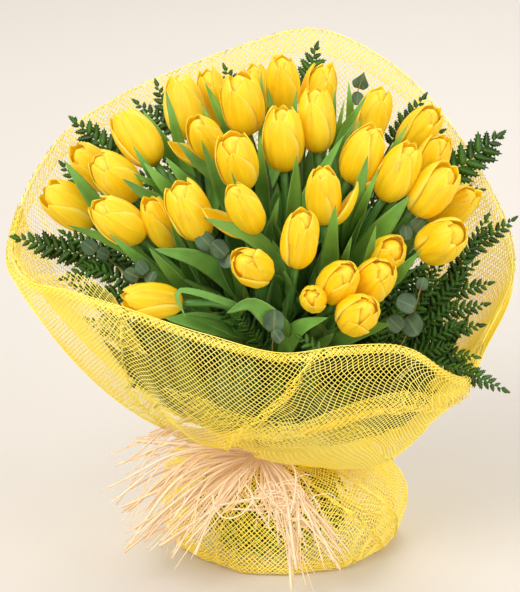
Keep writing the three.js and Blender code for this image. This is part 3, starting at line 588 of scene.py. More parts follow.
# Blooms: tip and base pixels of the axis, distance toward the viewer, width in pixels, and then
# the length where it is not the usual one and the turn of a petal that has fallen open
BLOOMS = [
    ((177, 71), (190, 139), 62, 42),
    ((206, 66), (222, 122), 26, 34),
    ((237, 73), (248, 134), 92, 43),
    ((253, 60), (262, 118), 14, 34),
    ((282, 54), (283, 112), 56, 37),
    ((282, 108), (284, 172), 118, 42),
    ((327, 61), (312, 118), 34, 37),
    ((315, 87), (318, 153), 98, 38),
    ((384, 86), (363, 144), 64, 35),
    ((117, 107), (158, 167), 96, 42),
    ((74, 148), (112, 186), 68, 36),
    ((96, 158), (137, 197), 118, 42),
    ((194, 121), (220, 160), 112, 36, BLOOM_LENGTH, 200),
    ((231, 138), (244, 189), 154, 41),
    ((376, 130), (349, 181), 132, 42, BLOOM_LENGTH, 350),
    ((412, 147), (382, 200), 138, 40),
    ((437, 108), (405, 148), 58, 36),
    ((444, 138), (421, 182), 88, 34),
    ((44, 186), (92, 224), 82, 42),
    ((97, 205), (143, 238), 154, 42),
    ((151, 201), (171, 247), 148, 32),
    ((178, 186), (204, 239), 174, 42),
    ((232, 189), (256, 232), 192, 36, BLOOM_LENGTH, 190),
    ((322, 169), (323, 224), 164, 37, BLOOM_LENGTH, 350),
    ((450, 169), (413, 213), 134, 41),
    ((476, 192), (433, 222), 88, 36),
    ((458, 231), (422, 252), 140, 43),
    ((303, 213), (295, 267), 200, 37),
    ((240, 261), (264, 275), 214, 37),
    ((309, 295), (315, 303), 206, 26, 42),
    ((346, 270), (327, 294), 192, 39),
    ((383, 268), (361, 294), 176, 40),
    ((394, 245), (374, 269), 142, 36),
    ((364, 306), (347, 321), 204, 41),
    ((125, 297), (184, 303), 182, 35, 58),
]

# The closed heart of a bloom: its radius as a share of the bloom's width, its length as a share of
# the bloom's, and points along and round it
BUD_RADIUS = (0.06, 0.2, 0.31, 0.38, 0.405, 0.385, 0.33, 0.25, 0.16, 0.04)
BUD_REACH = 0.95
BUD_ROWS = 12
BUD_SIDES = 14
# A petal from base to tip, in the outer and the inner whorl: share of the bloom's width as radius,
# and half of the angle that it spans
PETAL_ALONG = (0, 0.05, 0.14, 0.28, 0.45, 0.62, 0.76, 0.88, 0.96, 1)
OUTER_RADIUS = (0.09, 0.24, 0.37, 0.46, 0.49, 0.48, 0.44, 0.37, 0.3, 0.26)
OUTER_HALF = (44, 56, 62, 64, 62, 55, 45, 32, 18, 2)
INNER_RADIUS = (0.08, 0.215, 0.345, 0.435, 0.462, 0.45, 0.4, 0.31, 0.215, 0.15)
INNER_HALF = (46, 60, 68, 71, 72, 69, 62, 48, 28, 3)
# Points along and across a petal, its thickness, how far one that has fallen open leans out, the
# lengths of an inner and of the front petal as shares of the bloom's, and the turns of petals
PETAL_GRID = (17, 15)
PETAL_THICKNESS = 0.9
SPREAD_LEAN = math.radians(24)
INNER_REACH = 0.985
FRONT_REACH = 0.86
WHORL_TURNS = (0, 120, 240)
INNER_TURN = 60
# Relief of a petal, as shares of its radius: the lap over the next petal, the cup, two ridges
# (with their place and width across), the groove between them and fine ribs
OVERLAP = 0.05
CUP = 0.03
RIDGE = 0.03
RIDGE_PLACE = 0.24
RIDGE_WIDTH = 0.15
GROOVE = 0.03
GROOVE_WIDTH = 0.1
FINE_RIBS = 0.009
# Waves of a petal's edge: in its angle, in its radius (a share of the bloom's width) and in its
# height at the tip, and how far the edges lie below the middle (shares of the length)
EDGE_WAVE = 0.045
EDGE_RIPPLE = 0.03
TIP_NICK = 0.014
EDGE_DROP = 0.035


def bloom_axes(tip, base, near, length):
    """Side, back and axis of a bloom, and its foot: the axis makes up its length toward the viewer."""
    across = (tip[0] - base[0]) * PIXEL
    rise = (base[1] - tip[1]) * PIXEL
    out = math.sqrt(max(length ** 2 - across ** 2 - rise ** 2, 0))
    axis = unit(across * RIGHT + rise * PICTURE_UP + out * TOWARD)
    side = unit(RIGHT - axis * axis[0])
    middle = seen(np.add(tip, base) / 2, near)
    return side, np.cross(axis, side), axis, middle - axis * length / 2


def petal(turn, width, length, reach, radii, halves, pinch, phase):
    """A petal's middle surface on (rows, columns), from the foot to its reach, a share of the length.

    The radius follows radii and the angle halves across. The right edge lies outside the left edge
    of the next petal. A groove runs up the middle between two soft ridges, the edges ripple towards
    the tip, and pinch draws the upper half in towards the bloom's axis.
    """
    across = np.linspace(-1, 1, PETAL_GRID[1])[None, :]
    along = np.sin(np.linspace(0, np.pi / 2, PETAL_GRID[0]))[:, None] ** 1.15
    half = eased(PETAL_ALONG, halves, along) * (1 + EDGE_WAVE * np.sin(27 * along + phase) * along ** 3)
    spoon = 1 + OVERLAP * across - CUP * across ** 2
    ridges = RIDGE * np.exp(-((np.abs(across) - RIDGE_PLACE) / RIDGE_WIDTH) ** 2)
    groove = GROOVE * np.exp(-(across / GROOVE_WIDTH) ** 2)
    fine = FINE_RIBS * np.cos(23 * across + phase)
    ripple = EDGE_RIPPLE * np.sin(11 * along + phase + 2.2 * across)
    ripple = ripple * np.abs(across) ** 3 * along ** 1.5
    radius = width * eased(PETAL_ALONG, radii, reach * along) * (spoon + ridges - groove + fine)
    radius = radius * (1 - pinch * along ** 4) + width * ripple
    nick = TIP_NICK * np.sin(6.0 * across + phase) * along ** 10
    drop = EDGE_DROP * across ** 2 * along ** 3 * (1 - along ** 6)
    height = length * reach * (along + nick - drop)
    return round_axis(turn + half * across, radius, height)


def bloom(index, tip, base, near, width_seen, length=BLOOM_LENGTH, spread=None):
    """Six petals in two whorls round a closed heart.

    The front petal is the shortest. With spread, a turn in degrees, the petal there leans out about
    its foot instead.
    """
    side, back, axis, foot = bloom_axes(tip, base, near, length)
    width = width_seen * PIXEL
    roll = FRONT_TURN + 23 * math.sin(index * 2.4) if spread is None else spread
    petals = []
    for whorl_turn in WHORL_TURNS:
        turn = roll + whorl_turn + 5 * math.sin(index * 3 + whorl_turn)
        phase = index * 1.3 + whorl_turn
        pinch = 0.1 + 0.16 * math.sin(index * 1.7 + whorl_turn)
        reach = 0.95 + 0.035 * math.sin(phase)
        if whorl_turn == 0 and spread is None:
            pinch = 0.02
            reach = FRONT_REACH + 0.06 * math.sin(index * 5.1)
        outer = petal(turn, width, length, reach, OUTER_RADIUS, OUTER_HALF, pinch, phase)
        if whorl_turn == 0 and spread is not None:
            hinge = np.array([-math.sin(math.radians(turn)), math.cos(math.radians(turn)), 0.0])
            hinges = np.broadcast_to(hinge, outer.shape)
            outer = turned(outer, hinges, np.full(outer.shape[:2], SPREAD_LEAN))
        reach = INNER_REACH * (0.975 + 0.025 * math.sin(phase * 2))
        pinch = 0.2 * math.sin(index * 2.3 + whorl_turn)
        inner = petal(turn + INNER_TURN, width, length, reach, INNER_RADIUS, INNER_HALF, pinch, phase + 2)
        petals += [outer, inner]
    share = np.linspace(0, 1, BUD_ROWS)
    heart = round_axis(0 * share, 0 * share, share * length * BUD_REACH)
    bud = round_tubes(heart[None], width * eased(PETAL_ALONG, BUD_RADIUS, share)[None], BUD_SIDES, 0.6)
    shape = together([closed_blades(np.stack(petals), PETAL_THICKNESS, chance.uniform(0, 1, 6)), bud])
    shape.points = foot + shape.points @ np.stack([side, back, axis])
    return shape


# Stems

STEM_STATIONS = 26
STEM_SIDES = 8


def tie_places():
    """Places of the stems in the tie, in the order of their directions, eased apart to even spacing."""
    feet = np.array([bloom_foot(entry)[1] for entry in BLOOMS]) - TIE
    places = feet * (1, 1, 0) * BUNDLE_RADIUS / length_of(feet)
    for _ in range(EASING_ROUNDS):
        for a in range(len(places)):
            for b in range(len(places)):
                between = places[b] - places[a]
                distance = math.hypot(*between)
                if a != b and distance < STEM_PITCH:
                    push = (STEM_PITCH - distance) / 2 / distance
                    places[a] = places[a] - between * push
                    places[b] = places[b] + between * push
        places = places * np.minimum(1, BUNDLE_RADIUS / np.maximum(length_of(places), TINY))
    middle = places[length_of(places)[:, 0].argmin()]
    return places - middle


def bloom_foot(entry):
    """Axis and foot of a bloom."""
    length = entry[4] if len(entry) > 4 else BLOOM_LENGTH
    return bloom_axes(*entry[:3], length)[2:]


def stem_path(entry, place, count):
    """From below the floor, where the stem is cut off level, through the tie to the bloom's foot."""
    axis, foot = bloom_foot(entry)
    cut_end = turned(place * FOOT_RADIUS / BUNDLE_RADIUS, UP, np.array(SPIRAL_TURN)) - STEM_SUNK * UP
    at_tie = place + TIE
    reach = math.dist(foot, TIE)
    rise = unit(at_tie - cut_end + STEM_SUNK * UP)
    above_tie = at_tie + (foot - at_tie) * 0.3 + rise * reach * 0.06
    below_bloom = foot - axis * reach * 0.2
    return along_path([cut_end, at_tie, above_tie, below_bloom, foot + axis * 2], count)


TIE_PLACES = tie_places()
STEM_PATHS = np.stack([
    stem_path(entry, place, STEM_STATIONS) for entry, place in zip(BLOOMS, TIE_PLACES)
])


# Leaves: tip and root pixels, distance toward the viewer at the tip, width in pixels, and a pixel
# on the way where the leaf bends
LEAVES = [
    ((211, 65), (228, 112), 30, 9),
    ((204, 80), (232, 140), 78, 12),
    ((261, 67), (263, 112), 58, 8),
    ((268, 86), (275, 132), 66, 11),
    ((297, 90), (292, 128), 72, 11),
    ((336, 88), (334, 120), 66, 9),
    ((350, 79), (351, 120), 40, 12),
    ((345, 98), (334, 155), 80, 9),
    ((367, 95), (344, 130), 92, 11),
    ((357, 118), (336, 155), 104, 9),
    ((361, 119), (348, 150), 112, 9),
    ((142, 109), (176, 165), 88, 16),
    ((166, 91), (180, 145), 104, 12),
    ((134, 147), (155, 180), 124, 12),
    ((144, 163), (176, 200), 134, 18),
    ((125, 171), (168, 190), 128, 10),
    ((124, 180), (162, 208), 144, 17),
    ((65, 161), (104, 214), 118, 17),
    ((94, 179), (116, 206), 124, 10),
    ((177, 142), (214, 182), 128, 15),
    ((202, 142), (228, 205), 146, 14),
    ((166, 158), (196, 195), 132, 16),
    ((201, 103), (214, 130), 92, 9),
    ((260, 136), (265, 212), 132, 15),
    ((296, 158), (290, 260), 158, 19),
    ((279, 198), (268, 242), 166, 11),
    ((343, 137), (308, 196), 148, 13),
    ((366, 158), (350, 218), 166, 16),
    ((377, 170), (358, 218), 164, 11),
    ((408, 124), (386, 160), 106, 10),
    ((408, 197), (368, 244), 152, 22),
    ((334, 207), (326, 300), 196, 20),
    ((374, 226), (364, 268), 176, 12),
    ((350, 237), (341, 270), 182, 11),
    ((419, 250), (390, 282), 170, 13),
    ((388, 323), (318, 348), 186, 22, (352, 331)),
    ((326, 317), (286, 348), 206, 20, (300, 328)),
    ((205, 220), (282, 300), 212, 19, (261, 246)),
    ((156, 250), (242, 298), 196, 20, (204, 262)),
    ((151, 248), (190, 294), 202, 14),
    ((172, 223), (194, 280), 172, 16),
    ((70, 226), (166, 270), 150, 15, (116, 242)),
    ((112, 235), (158, 276), 172, 12),
    ((167, 318), (246, 334), 188, 24, (204, 322)),
    ((227, 313), (276, 322), 212, 22, (250, 303)),
    ((188, 318), (236, 306), 214, 8, (180, 292)),
    ((232, 174), (242, 200), 178, 9),
]
# A leaf's width along it, as shares; points along and across it; its fold and the waves of its
# edges, as shares of half of the width; and its roll in radians
LEAF_ALONG = (0, 0.12, 0.3, 0.5, 0.66, 0.82, 0.93, 1)
LEAF_SHARE = (0.3, 0.5, 0.82, 1, 0.96, 0.66, 0.32, 0.02)
LEAF_GRID = (26, 9)
UNDER_GRID = (12, 5)
LEAF_FOLD = 0.3
LEAF_WAVE = 0.1
LEAF_ROLL = 0.35
LEAF_THICKNESS = 0.9
# Where a leaf starts on the way from the tie to its root, how far the root lies back and the bend
# forward, and the part of a stem that it starts on
LEAF_START = 0.72
LEAF_ARCH = 4
LEAF_STATIONS = range(10, 21)
# Leaves that the front view hardly shows: how many, and their widths and tones from and to; their tones
# are darker than those of the leaves in sight, painted shade for leaves that lie under the blooms and
# inside the wrap
UNDER_LEAVES = 150
UNDER_WIDTHS = (15, 24)
UNDER_SHADE_TONES = (0.1, 0.6)
LINING_LEAVES = 240
LINING_WIDTHS = (18, 28)
LINING_SHADE_TONES = (0, 0.12)
LOW_LEAVES = 60
LOW_WIDTHS = (16, 26)
LOW_SHADE_TONES = (0, 0.2)
# A turn that sets leaves round the axis without two in line
LEAF_TURN = 137.5
# Leaf ends below the tie: their distance from the axis and below the tie at the start, their
# directions in degrees, and how far from the axis they reach
LOW_START = 24
LOW_DEPTH = 8
LOW_RANGE = (190, 370)
LOW_REACH = (42, 82)


def leaf_path(tip, root, near, width, bend=None):
    """From the nearest stem below its root, past the root and the bend to the tip."""
    root_near = near_on_ray(root, tip, near)
    root_place = seen(root, root_near - LEAF_ARCH)
    bend = np.add(tip, root) / 2 if bend is None else bend
    bend_place = seen(bend, (near + root_near) / 2 + LEAF_ARCH)
    below = TIE + (root_place - TIE) * LEAF_START
    on_stems = STEM_PATHS[:, LEAF_STATIONS].reshape(-1, 3)
    start = on_stems[length_of(on_stems - below)[:, 0].argmin()]
    return along_path([start, root_place, bend_place, seen(tip, near)], LEAF_GRID[0])


def leaf_blades(paths, widths, rolls, facing, columns):
    """Lance-shaped leaves on paths of shape (leaves, rows, 3).

    They are folded along the middle, waved at the edges and twisted a little by their rolls.
    """
    across = np.linspace(-1, 1, columns)[None, None, :]
    along = np.linspace(0, 1, paths.shape[1])[None, :, None]
    tangents = unit(np.gradient(paths, axis=1))
    normal = unit(facing - tangents * (facing * tangents).sum(-1, keepdims=True))
    twist = rolls[:, None] * (0.6 + 0.8 * along[..., 0])
    normal = turned(normal, tangents, twist)
    side = np.cross(tangents, normal)
    half = widths[:, None, None] / 2 * eased(LEAF_ALONG, LEAF_SHARE, along)
    wave = LEAF_WAVE * np.sin(11 * along + 9 * rolls[:, None, None] + 1.5 * across) * across ** 2
    lift = half * (LEAF_FOLD * np.abs(across) ** 1.4 + wave)
    sideways = side[:, :, None] * (half * across)[..., None]
    return paths[:, :, None] + sideways + normal[:, :, None] * lift[..., None]


def seen_leaves():
    """The leaves that the front view shows."""
    paths = np.stack([leaf_path(*entry) for entry in LEAVES])
    widths = np.array([entry[3] * PIXEL for entry in LEAVES])
    rolls = LEAF_ROLL * np.sin(np.arange(len(LEAVES)) * 2.4)
    tones = chance.uniform(0.45, 1, len(LEAVES))
    blades = leaf_blades(paths, widths, rolls, TOWARD, LEAF_GRID[1])
    return closed_blades(blades, LEAF_THICKNESS, tones)


def hidden_leaves(paths, facing, most_roll, width_range, tone_range):
    """Blades on paths, with a roll, a width and a tone drawn for each."""
    count = len(paths)
    rolls = either_way(most_roll, count)
    widths = chance.uniform(*width_range, count)
    blades = leaf_blades(paths, widths, rolls, facing, UNDER_GRID[1])
    return closed_blades(blades, LEAF_THICKNESS, chance.uniform(*tone_range, count))


def under_leaves(count):
    """Leaves that stand between the stems below the blooms, four or so to a stem, each turned on."""
    paths = []
    for index in range(count):
        stem = STEM_PATHS[index % len(BLOOMS)]
        axis, foot = bloom_foot(BLOOMS[index % len(BLOOMS)])
        outward = turned(unit(np.cross(axis, UP + 0.01)), axis, np.array(index * 2.4 + 0.7))
        start = stem[STEM_STATIONS // 2 + index % 3]
        middle = stem[STEM_STATIONS * 3 // 4] + outward * 14
        end = foot + outward * chance.uniform(12, 26) + axis * chance.uniform(-22, 12)
        paths.append(along_path([start, middle, end], UNDER_GRID[0]))
    paths = np.stack(paths)
    along = np.gradient(paths, axis=1)
    facing = np.cross(np.cross(along, unit(paths[:, -1:] - TIE) + 0.3 * UP), along)
    # Their tones are darker than those of the leaves in sight: painted shade under the blooms
    return hidden_leaves(paths, facing, 0.6, UNDER_WIDTHS, UNDER_SHADE_TONES)


def lining_leaves(count):
    """Leaves that line the wrap from the tie up, painted dark as shade: high at the front, low behind the
    blooms.
    """
    turn = (np.arange(count) * LEAF_TURN) % TURN
    front = np.clip(1.3 * cosine_of(turn - 285) + 0.5, 0, 1)
    back = np.clip(sine_of(turn), 0, 1) ** 2
    level = 0.36 + 0.1 * chance.uniform(0, 1, count)
    level = level + front * chance.uniform(0.05, 0.46, count) + back * chance.uniform(0.1, 0.38, count)
    share = row_of(UNDER_GRID[0])
    turn = turn[:, None] + either_way(14, (count, 1)) * share
    radius, height = collar_place(turn, level[:, None] * (0.06 + 0.94 * share), 0.0)
    inset = chance.uniform(9, 26, (count, 1)) * share
    paths = round_axis(turn, np.maximum(radius - inset, 25), height + 0.5 * inset)
    facing = UP - unit(paths * (1, 1, 0))
    return hidden_leaves(paths, facing, 0.5, LINING_WIDTHS, LINING_SHADE_TONES)


def low_leaves(count):
    """Leaf ends below the tie, painted dark as shade inside the skirt, from the left round the front to
    the right.
    """
    turn = chance.uniform(*LOW_RANGE, count)[:, None]
    share = row_of(UNDER_GRID[0])
    reach = chance.uniform(*LOW_REACH, (count, 1))
    radius = LOW_START + (reach - LOW_START) * share ** 0.9
    top = TIE_HEIGHT - LOW_DEPTH
    height = top - (top - chance.uniform(8, 60, (count, 1))) * share ** 1.3
    paths = round_axis(turn + either_way(12, (count, 1)) * share, radius, height)
    facing = unit(paths * (1, 1, 0)) + 0.5 * UP
    widths = chance.uniform(*LOW_WIDTHS, count)
    rolls = either_way(0.6, count)
    blades = leaf_blades(paths, widths, rolls, facing, UNDER_GRID[1])
    return closed_blades(blades, LEAF_THICKNESS, chance.uniform(*LOW_SHADE_TONES, count))


# Fern fronds of each CAD node: root and tip pixels of the leafy part, distance toward the viewer at
# the tip and half of the width in pixels
FERNS = [
    [((303, 92), (318, 40), 10, 17)],
    [((238, 96), (224, 63), 18, 12)],
    [
        ((172, 128), (154, 78), 20, 13),
        ((172, 128), (133, 98), 26, 13),
        ((192, 222), (161, 152), 30, 14),
        ((178, 238), (139, 170), 40, 14),
        ((206, 232), (196, 168), 44, 13),
        ((196, 232), (170, 160), 34, 13),
        ((180, 246), (148, 180), 44, 13),
    ],
    [((126, 166), (69, 116), 40, 20)],
    [((92, 200), (59, 162), 46, 14)],
    [
        ((112, 262), (9, 236), 70, 20),
        ((112, 262), (60, 279), 78, 13),
        ((118, 258), (60, 231), 88, 13),
        ((130, 282), (84, 266), 104, 12),
        ((134, 306), (70, 284), 98, 14),
        ((150, 350), (84, 318), 96, 14),
        ((148, 300), (92, 290), 116, 13),
        ((148, 274), (106, 242), 88, 12),
    ],
    [
        ((392, 142), (428, 92), 34, 14),
        ((398, 150), (446, 128), 38, 12),
        ((346, 258), (384, 190), 34, 14),
        ((330, 236), (352, 168), 24, 13),
        ((356, 266), (390, 208), 44, 13),
        ((340, 250), (374, 182), 30, 13),
        ((348, 264), (381, 186), 42, 13),
    ],
    [
        ((440, 184), (506, 131), 40, 25),
        ((446, 198), (484, 189), 46, 13),
        ((436, 176), (448, 140), 42, 12),
    ],
    [
        ((418, 350), (492, 208), 92, 15),
        ((474, 250), (516, 218), 84, 12),
        ((466, 262), (491, 224), 88, 9),
        ((450, 294), (491, 283), 100, 12),
        ((440, 314), (487, 304), 108, 12),
        ((430, 334), (482, 325), 116, 13),
        ((424, 350), (477, 357), 124, 12),
        ((436, 300), (478, 262), 98, 11),
        ((420, 322), (462, 276), 104, 12),
        ((412, 338), (458, 300), 112, 12),
        ((410, 350), (462, 322), 118, 12),
        ((406, 356), (452, 344), 124, 12),
        ((400, 318), (444, 262), 106, 12),
        ((394, 334), (430, 292), 116, 12),
        ((392, 342), (424, 318), 128, 12),
        ((386, 340), (404, 292), 132, 11),
        ((398, 356), (394, 292), 118, 13),
        ((404, 352), (418, 284), 104, 13),
        ((412, 330), (436, 250), 86, 12),
        ((424, 318), (460, 266), 86, 12),
        ((404, 342), (403, 298), 108, 13),
        ((384, 348), (392, 286), 124, 13),
        ((376, 350), (382, 300), 126, 12),
        ((388, 326), (430, 254), 98, 13),
        ((382, 320), (412, 262), 104, 12),
        ((396, 322), (446, 276), 100, 12),
    ],
    [((422, 350), (508, 392), 128, 14), ((418, 356), (470, 374), 130, 10)],
    [
        ((205, 352), (127, 388), 80, 16),
        ((212, 350), (140, 362), 100, 14),
        ((204, 382), (157, 406), 86, 15),
        ((184, 348), (120, 316), 112, 14),
        ((168, 352), (104, 330), 100, 14),
        ((180, 372), (118, 358), 90, 14),
        ((150, 340), (96, 306), 108, 14),
        ((190, 380), (138, 376), 98, 13),
    ],
    [
        ((262, 332), (194, 288), 181, 14),
        ((268, 352), (236, 312), 200, 12),
        ((322, 352), (298, 336), 196, 11),
    ],
]
# A frond's arch as a share of its length, a small leaf's thickness and droop, and the rib
FERN_ARCH = 0.08
BLADE_THICKNESS = 0.35
BLADE_DROOP = 0.1
RIB_STATIONS = 24
RIB_RADII = (0.9, 0.3)
FROND_STALK_RADIUS = 0.9
SPRAY_STATIONS = 18
# Distance of the places that a stalk passes above and below the middle of the tie
TIE_HALF = 4


def spray_slots():
    """Places round the tie for the stalks of ferns and eucalyptus, in the order of their directions."""
    roots = [seen(node[0][0], near_on_ray(node[0][0], node[0][1], node[0][2])) for node in FERNS]
    roots += [seen(root, near * SPRIG_ROOT_NEAR) for root, near, _ in EUCALYPTUS]
    turns = np.degrees([math.atan2(root[1], root[0]) for root in roots])
    slots = np.empty(len(turns))
    slots[turns.argsort(kind="stable")] = turns.min() + TURN * np.arange(len(turns)) / len(turns)
    return slots


def stalk_path(slot, root, onward):
    """From beside the tulip stems at the tie up to the root of the leafy part, and on into it."""
    low = round_axis(slot, SPRAY_RING_RADIUS, TIE_HEIGHT - TIE_HALF)
    tie = round_axis(slot, SPRAY_RING_RADIUS, TIE_HEIGHT + TIE_HALF)
    middle = (tie + root) / 2 + 6 * UP
    return along_path([low, tie, middle, root, onward], SPRAY_STATIONS)


def small_blades(feet, forward, face, lengths, halves, shares, edge_ahead, columns, cup, tone):
    """Small leaves from their feet forward, with the face up and the tip a little drooped.

    The half width at each row is its share of halves, for all leaves or for each; cup lifts the
    edges; edge_ahead moves the edges of a row towards the tip, by its share of the length.
    """
    across = np.linspace(-1, 1, columns)[None, None, :]
    along = np.linspace(0, 1, np.shape(shares)[-1])[None, :, None]
    forward = unit(forward)
    face = unit(face - forward * (face * forward).sum(-1, keepdims=True))
    side = np.cross(forward, face)
    half = halves[:, None, None] * np.asarray(shares)[..., None]
    reach = lengths[:, None, None] * (along + np.asarray(edge_ahead)[None, :, None] * np.abs(across))
    lift = half * cup * across ** 2 - lengths[:, None, None] * BLADE_DROOP * along ** 2
    middle = (
        feet[:, None, None]
        + forward[:, None, None] * reach[..., None]
        + side[:, None, None] * (half * across)[..., None]
        + face[:, None, None] * lift[..., None]
    )
    return closed_blades(middle, BLADE_THICKNESS, tone)


# A pinna's rows from foot to tip, a notch and a tooth in turn
PINNA_SHARES = (0.3, 0.92, 0.7, 1.04, 0.7, 0.98, 0.58, 0.8, 0.42, 0.54, 0.18, 0.03)
TOOTH_AHEAD = tuple(0.075 if row % 2 else -0.01 for row in range(len(PINNA_SHARES)))
PINNA_COLUMNS = 3
PINNA_CUP = 0.12
# Distance between the pinnae of one side: a part that is the same, and a share of the spread
PINNA_PITCH = 4.2
PITCH_SHARE = 0.22
# The end pinna, as shares of that distance: its length and half of its width
END_PINNA = (1.2, 0.32)


def fern_frond(root_pixel, tip_pixel, near, spread):
    """A frond: toothed pinnae in turn to both sides of an arched rib, and one at its end.

    They are longest near the foot and shorter and more forward towards the tip. Gives the
    leafy shapes, the root, and a place on the rib that the stalk runs on to.
    """
    root = seen(root_pixel, near_on_ray(root_pixel, tip_pixel, near))
    tip = seen(tip_pixel, near)
    length = math.dist(root, tip)
    middle = (root + tip) / 2 + TOWARD * length * FERN_ARCH
    share = np.linspace(0, 1, RIB_STATIONS)[:, None]
    rib = root * (1 - share) ** 2 + 2 * middle * share * (1 - share) + tip * share ** 2
    pitch = PINNA_PITCH + PITCH_SHARE * spread
    count = 2 * max(round(length / pitch), 4)
    hand = np.where(np.arange(count) % 2, 1.0, -1.0)[:, None]
    along = ((np.arange(count) + 0.5) / count)[:, None]
    on_rib = along[:, 0] * 0.96
    foot = np.stack([np.interp(on_rib, share[:, 0], rib[:, axis]) for axis in range(3)], axis=1)
    forward = np.broadcast_to(unit(tip - root), foot.shape)
    normal = unit(TOWARD - forward * (forward @ TOWARD)[:, None])
    normal = turned(normal, forward, hand[:, 0] * 0.15 + 0.25 * np.sin(np.arange(count) * 1.9 + near))
    side = np.cross(forward, normal)
    reach = spread * PIXEL * np.sqrt(np.sin(np.pi * (0.2 + 0.8 * (1 - along)) * 0.62))
    reach = (reach * np.minimum(1, 1.7 * (1 - along) + 0.4))[:, 0] * chance.uniform(0.88, 1.08, count)
    outward = unit(side * hand + forward * (0.45 + 0.5 * along))
    half = np.minimum(0.56 * pitch, 0.27 * reach + 0.4)
    pinnae = small_blades(
        np.concatenate([foot, rib[-3:-2]]),
        np.concatenate([outward, forward[:1]]),
        np.concatenate([normal, normal[:1]]),
        np.append(reach, END_PINNA[0] * pitch),
        np.append(half, END_PINNA[1] * pitch),
        PINNA_SHARES,
        TOOTH_AHEAD,
        PINNA_COLUMNS,
        PINNA_CUP,
        chance.uniform(0, 1, count + 1),
    )
    main_rib = round_tubes(rib[None], np.linspace(*RIB_RADII, RIB_STATIONS)[None], 5, 0.8)
    return [pinnae, main_rib], root, rib[3]


# Eucalyptus: root pixel, distance toward the viewer, and the pixel and size of each leaf
EUCALYPTUS = [
    ((352, 112), 34, [(363, 77, 18), (359, 95, 14)]),
    ((392, 250), 128, [(416, 226, 17), (405, 233, 16)]),
    ((400, 344), 152, [(420, 284, 13), (404, 303, 21), (410, 325, 24), (393, 323, 18)]),
    ((238, 272), 178, [(206, 242, 20), (220, 250, 20), (227, 262, 15)]),
    ((112, 262), 110, [(90, 247, 17), (104, 254, 14)]),
    ((166, 286), 168, [(134, 275, 16), (144, 268, 15), (153, 277, 14)]),
    ((272, 348), 196, [(274, 320, 22), (277, 335, 14)]),
]
SPRIG_ROOT_NEAR = 0.92
ROUND_ROWS = 13
ROUND_COLUMNS = 9
ROUND_CUP = 0.2
LEAF_STALK_RADIUS = 0.35
SPINE_TIP_RADIUS = 0.4


def eucalyptus_sprig(root_pixel, near, leaves, slot, pointed):
    """Round leaves, the end one pointed or not, on a spine, and the long stalk down to the tie.

    The width of a round leaf follows a near circle, widest a little below its middle.
    """
    root = seen(root_pixel, near * SPRIG_ROOT_NEAR)
    end = seen(leaves[0][:2], near)
    feet, forwards, faces, sizes, stalks = [], [], [], [], []
    for index, (column, row, size) in enumerate(leaves):
        middle = seen((column, row), near + 3 * (index % 2))
        foot = root + (end - root) * max(0, 1 - (index + 1) / (len(leaves) + 1))
        face = turned(TOWARD, PICTURE_UP, np.array(0.5 * math.sin(index * 2.1)))
        face = turned(face, RIGHT, np.array(0.4 * math.cos(index * 1.7)))
        forward = unit((middle - foot) - face * ((middle - foot) @ face))
        diameter = size * PIXEL
        feet.append(middle - forward * diameter / 2)
        forwards.append(forward)
        faces.append(face)
        sizes.append(diameter)
        stalks.append(along_path([foot, (foot + feet[-1]) / 2 - face * 1.2, feet[-1]], 8))
    sizes = np.array(sizes)
    along = np.linspace(0, 1, ROUND_ROWS)
    shares = np.maximum(np.sqrt(1 - np.abs(2 * along - 0.94) ** 2.2 / 1.16), 0.05)
    shares = np.tile(shares, (len(sizes), 1))
    if pointed:
        shares[0] = np.clip(1.7 * (1 - along) ** 1.1, 0.02, shares[0])
    blades = small_blades(
        np.array(feet),
        np.array(forwards),
        np.array(faces),
        sizes,
        sizes / 2,
        shares,
        0 * along,
        ROUND_COLUMNS,
        ROUND_CUP,
        chance.uniform(0, 1, len(sizes)),
    )
    stalks = round_tubes(np.stack(stalks), LEAF_STALK_RADIUS, 5)
    taper = np.linspace(STALK_RADIUS, SPINE_TIP_RADIUS, SPRAY_STATIONS)
    spine = round_tubes(stalk_path(slot, root, end)[None], taper[None], 6)
    return blades, together([stalks, spine])


# The net. Rim stations round the axis: degrees from the right, radius, height
RIM = [
    (0, 229, 262),
    (19, 210, 346),
    (32, 200, 384),
    (48, 187, 421),
    (69, 166, 453),
    (98, 157, 438),
    (118, 165, 420),
    (140, 187, 395),
    (156, 207, 372),
    (171, 228, 322),
    (182, 234, 286),
    (193, 222, 276),
    (207, 204, 282),
    (228, 200, 288),
    (254, 198, 276),
    (275, 198, 260),
    (291, 197, 262),
    (310, 203, 248),
    (322, 206, 216),
    (336, 204, 196),
    (349, 206, 214),
]
# How the collar rises: powers of the level out and up, and the sag with its direction
OUT_POWER = 0.78
UP_POWER = 1.35
SAG = 0.35
SAG_TURN = 325
# The skirt round the axis: degrees from the right, full radius, radius of the hem
SKIRT_TOP = 103.3
SKIRT = [
    (0, 133, 118),
    (45, 120, 104),
    (90, 110, 94),
    (135, 102, 86),
    (180, 98, 82),
    (225, 99, 84),
    (270, 106, 98),
    (315, 122, 108),
]
# Threads: their distance round the net, rows in the table of a sheet, sides, thickness to width,
# their spacing while the net is flat, the share of a squeeze along the line of sight that also
# holds for distances round the net, and the shortest step that is kept
CELL = 5.4
NET_ROWS = 220
THREAD_SIDES = 3
THREAD_FLATNESS = 0.9
FLAT_SPACING = 2.6
SQUEEZED_ROUND = 0.8
SHORTEST_STEP = 0.2
# The thread along the rim: its radius and how far out it lies
RIM_THREAD_RADIUS = 0.45
RIM_THREAD_OUT = 0.8
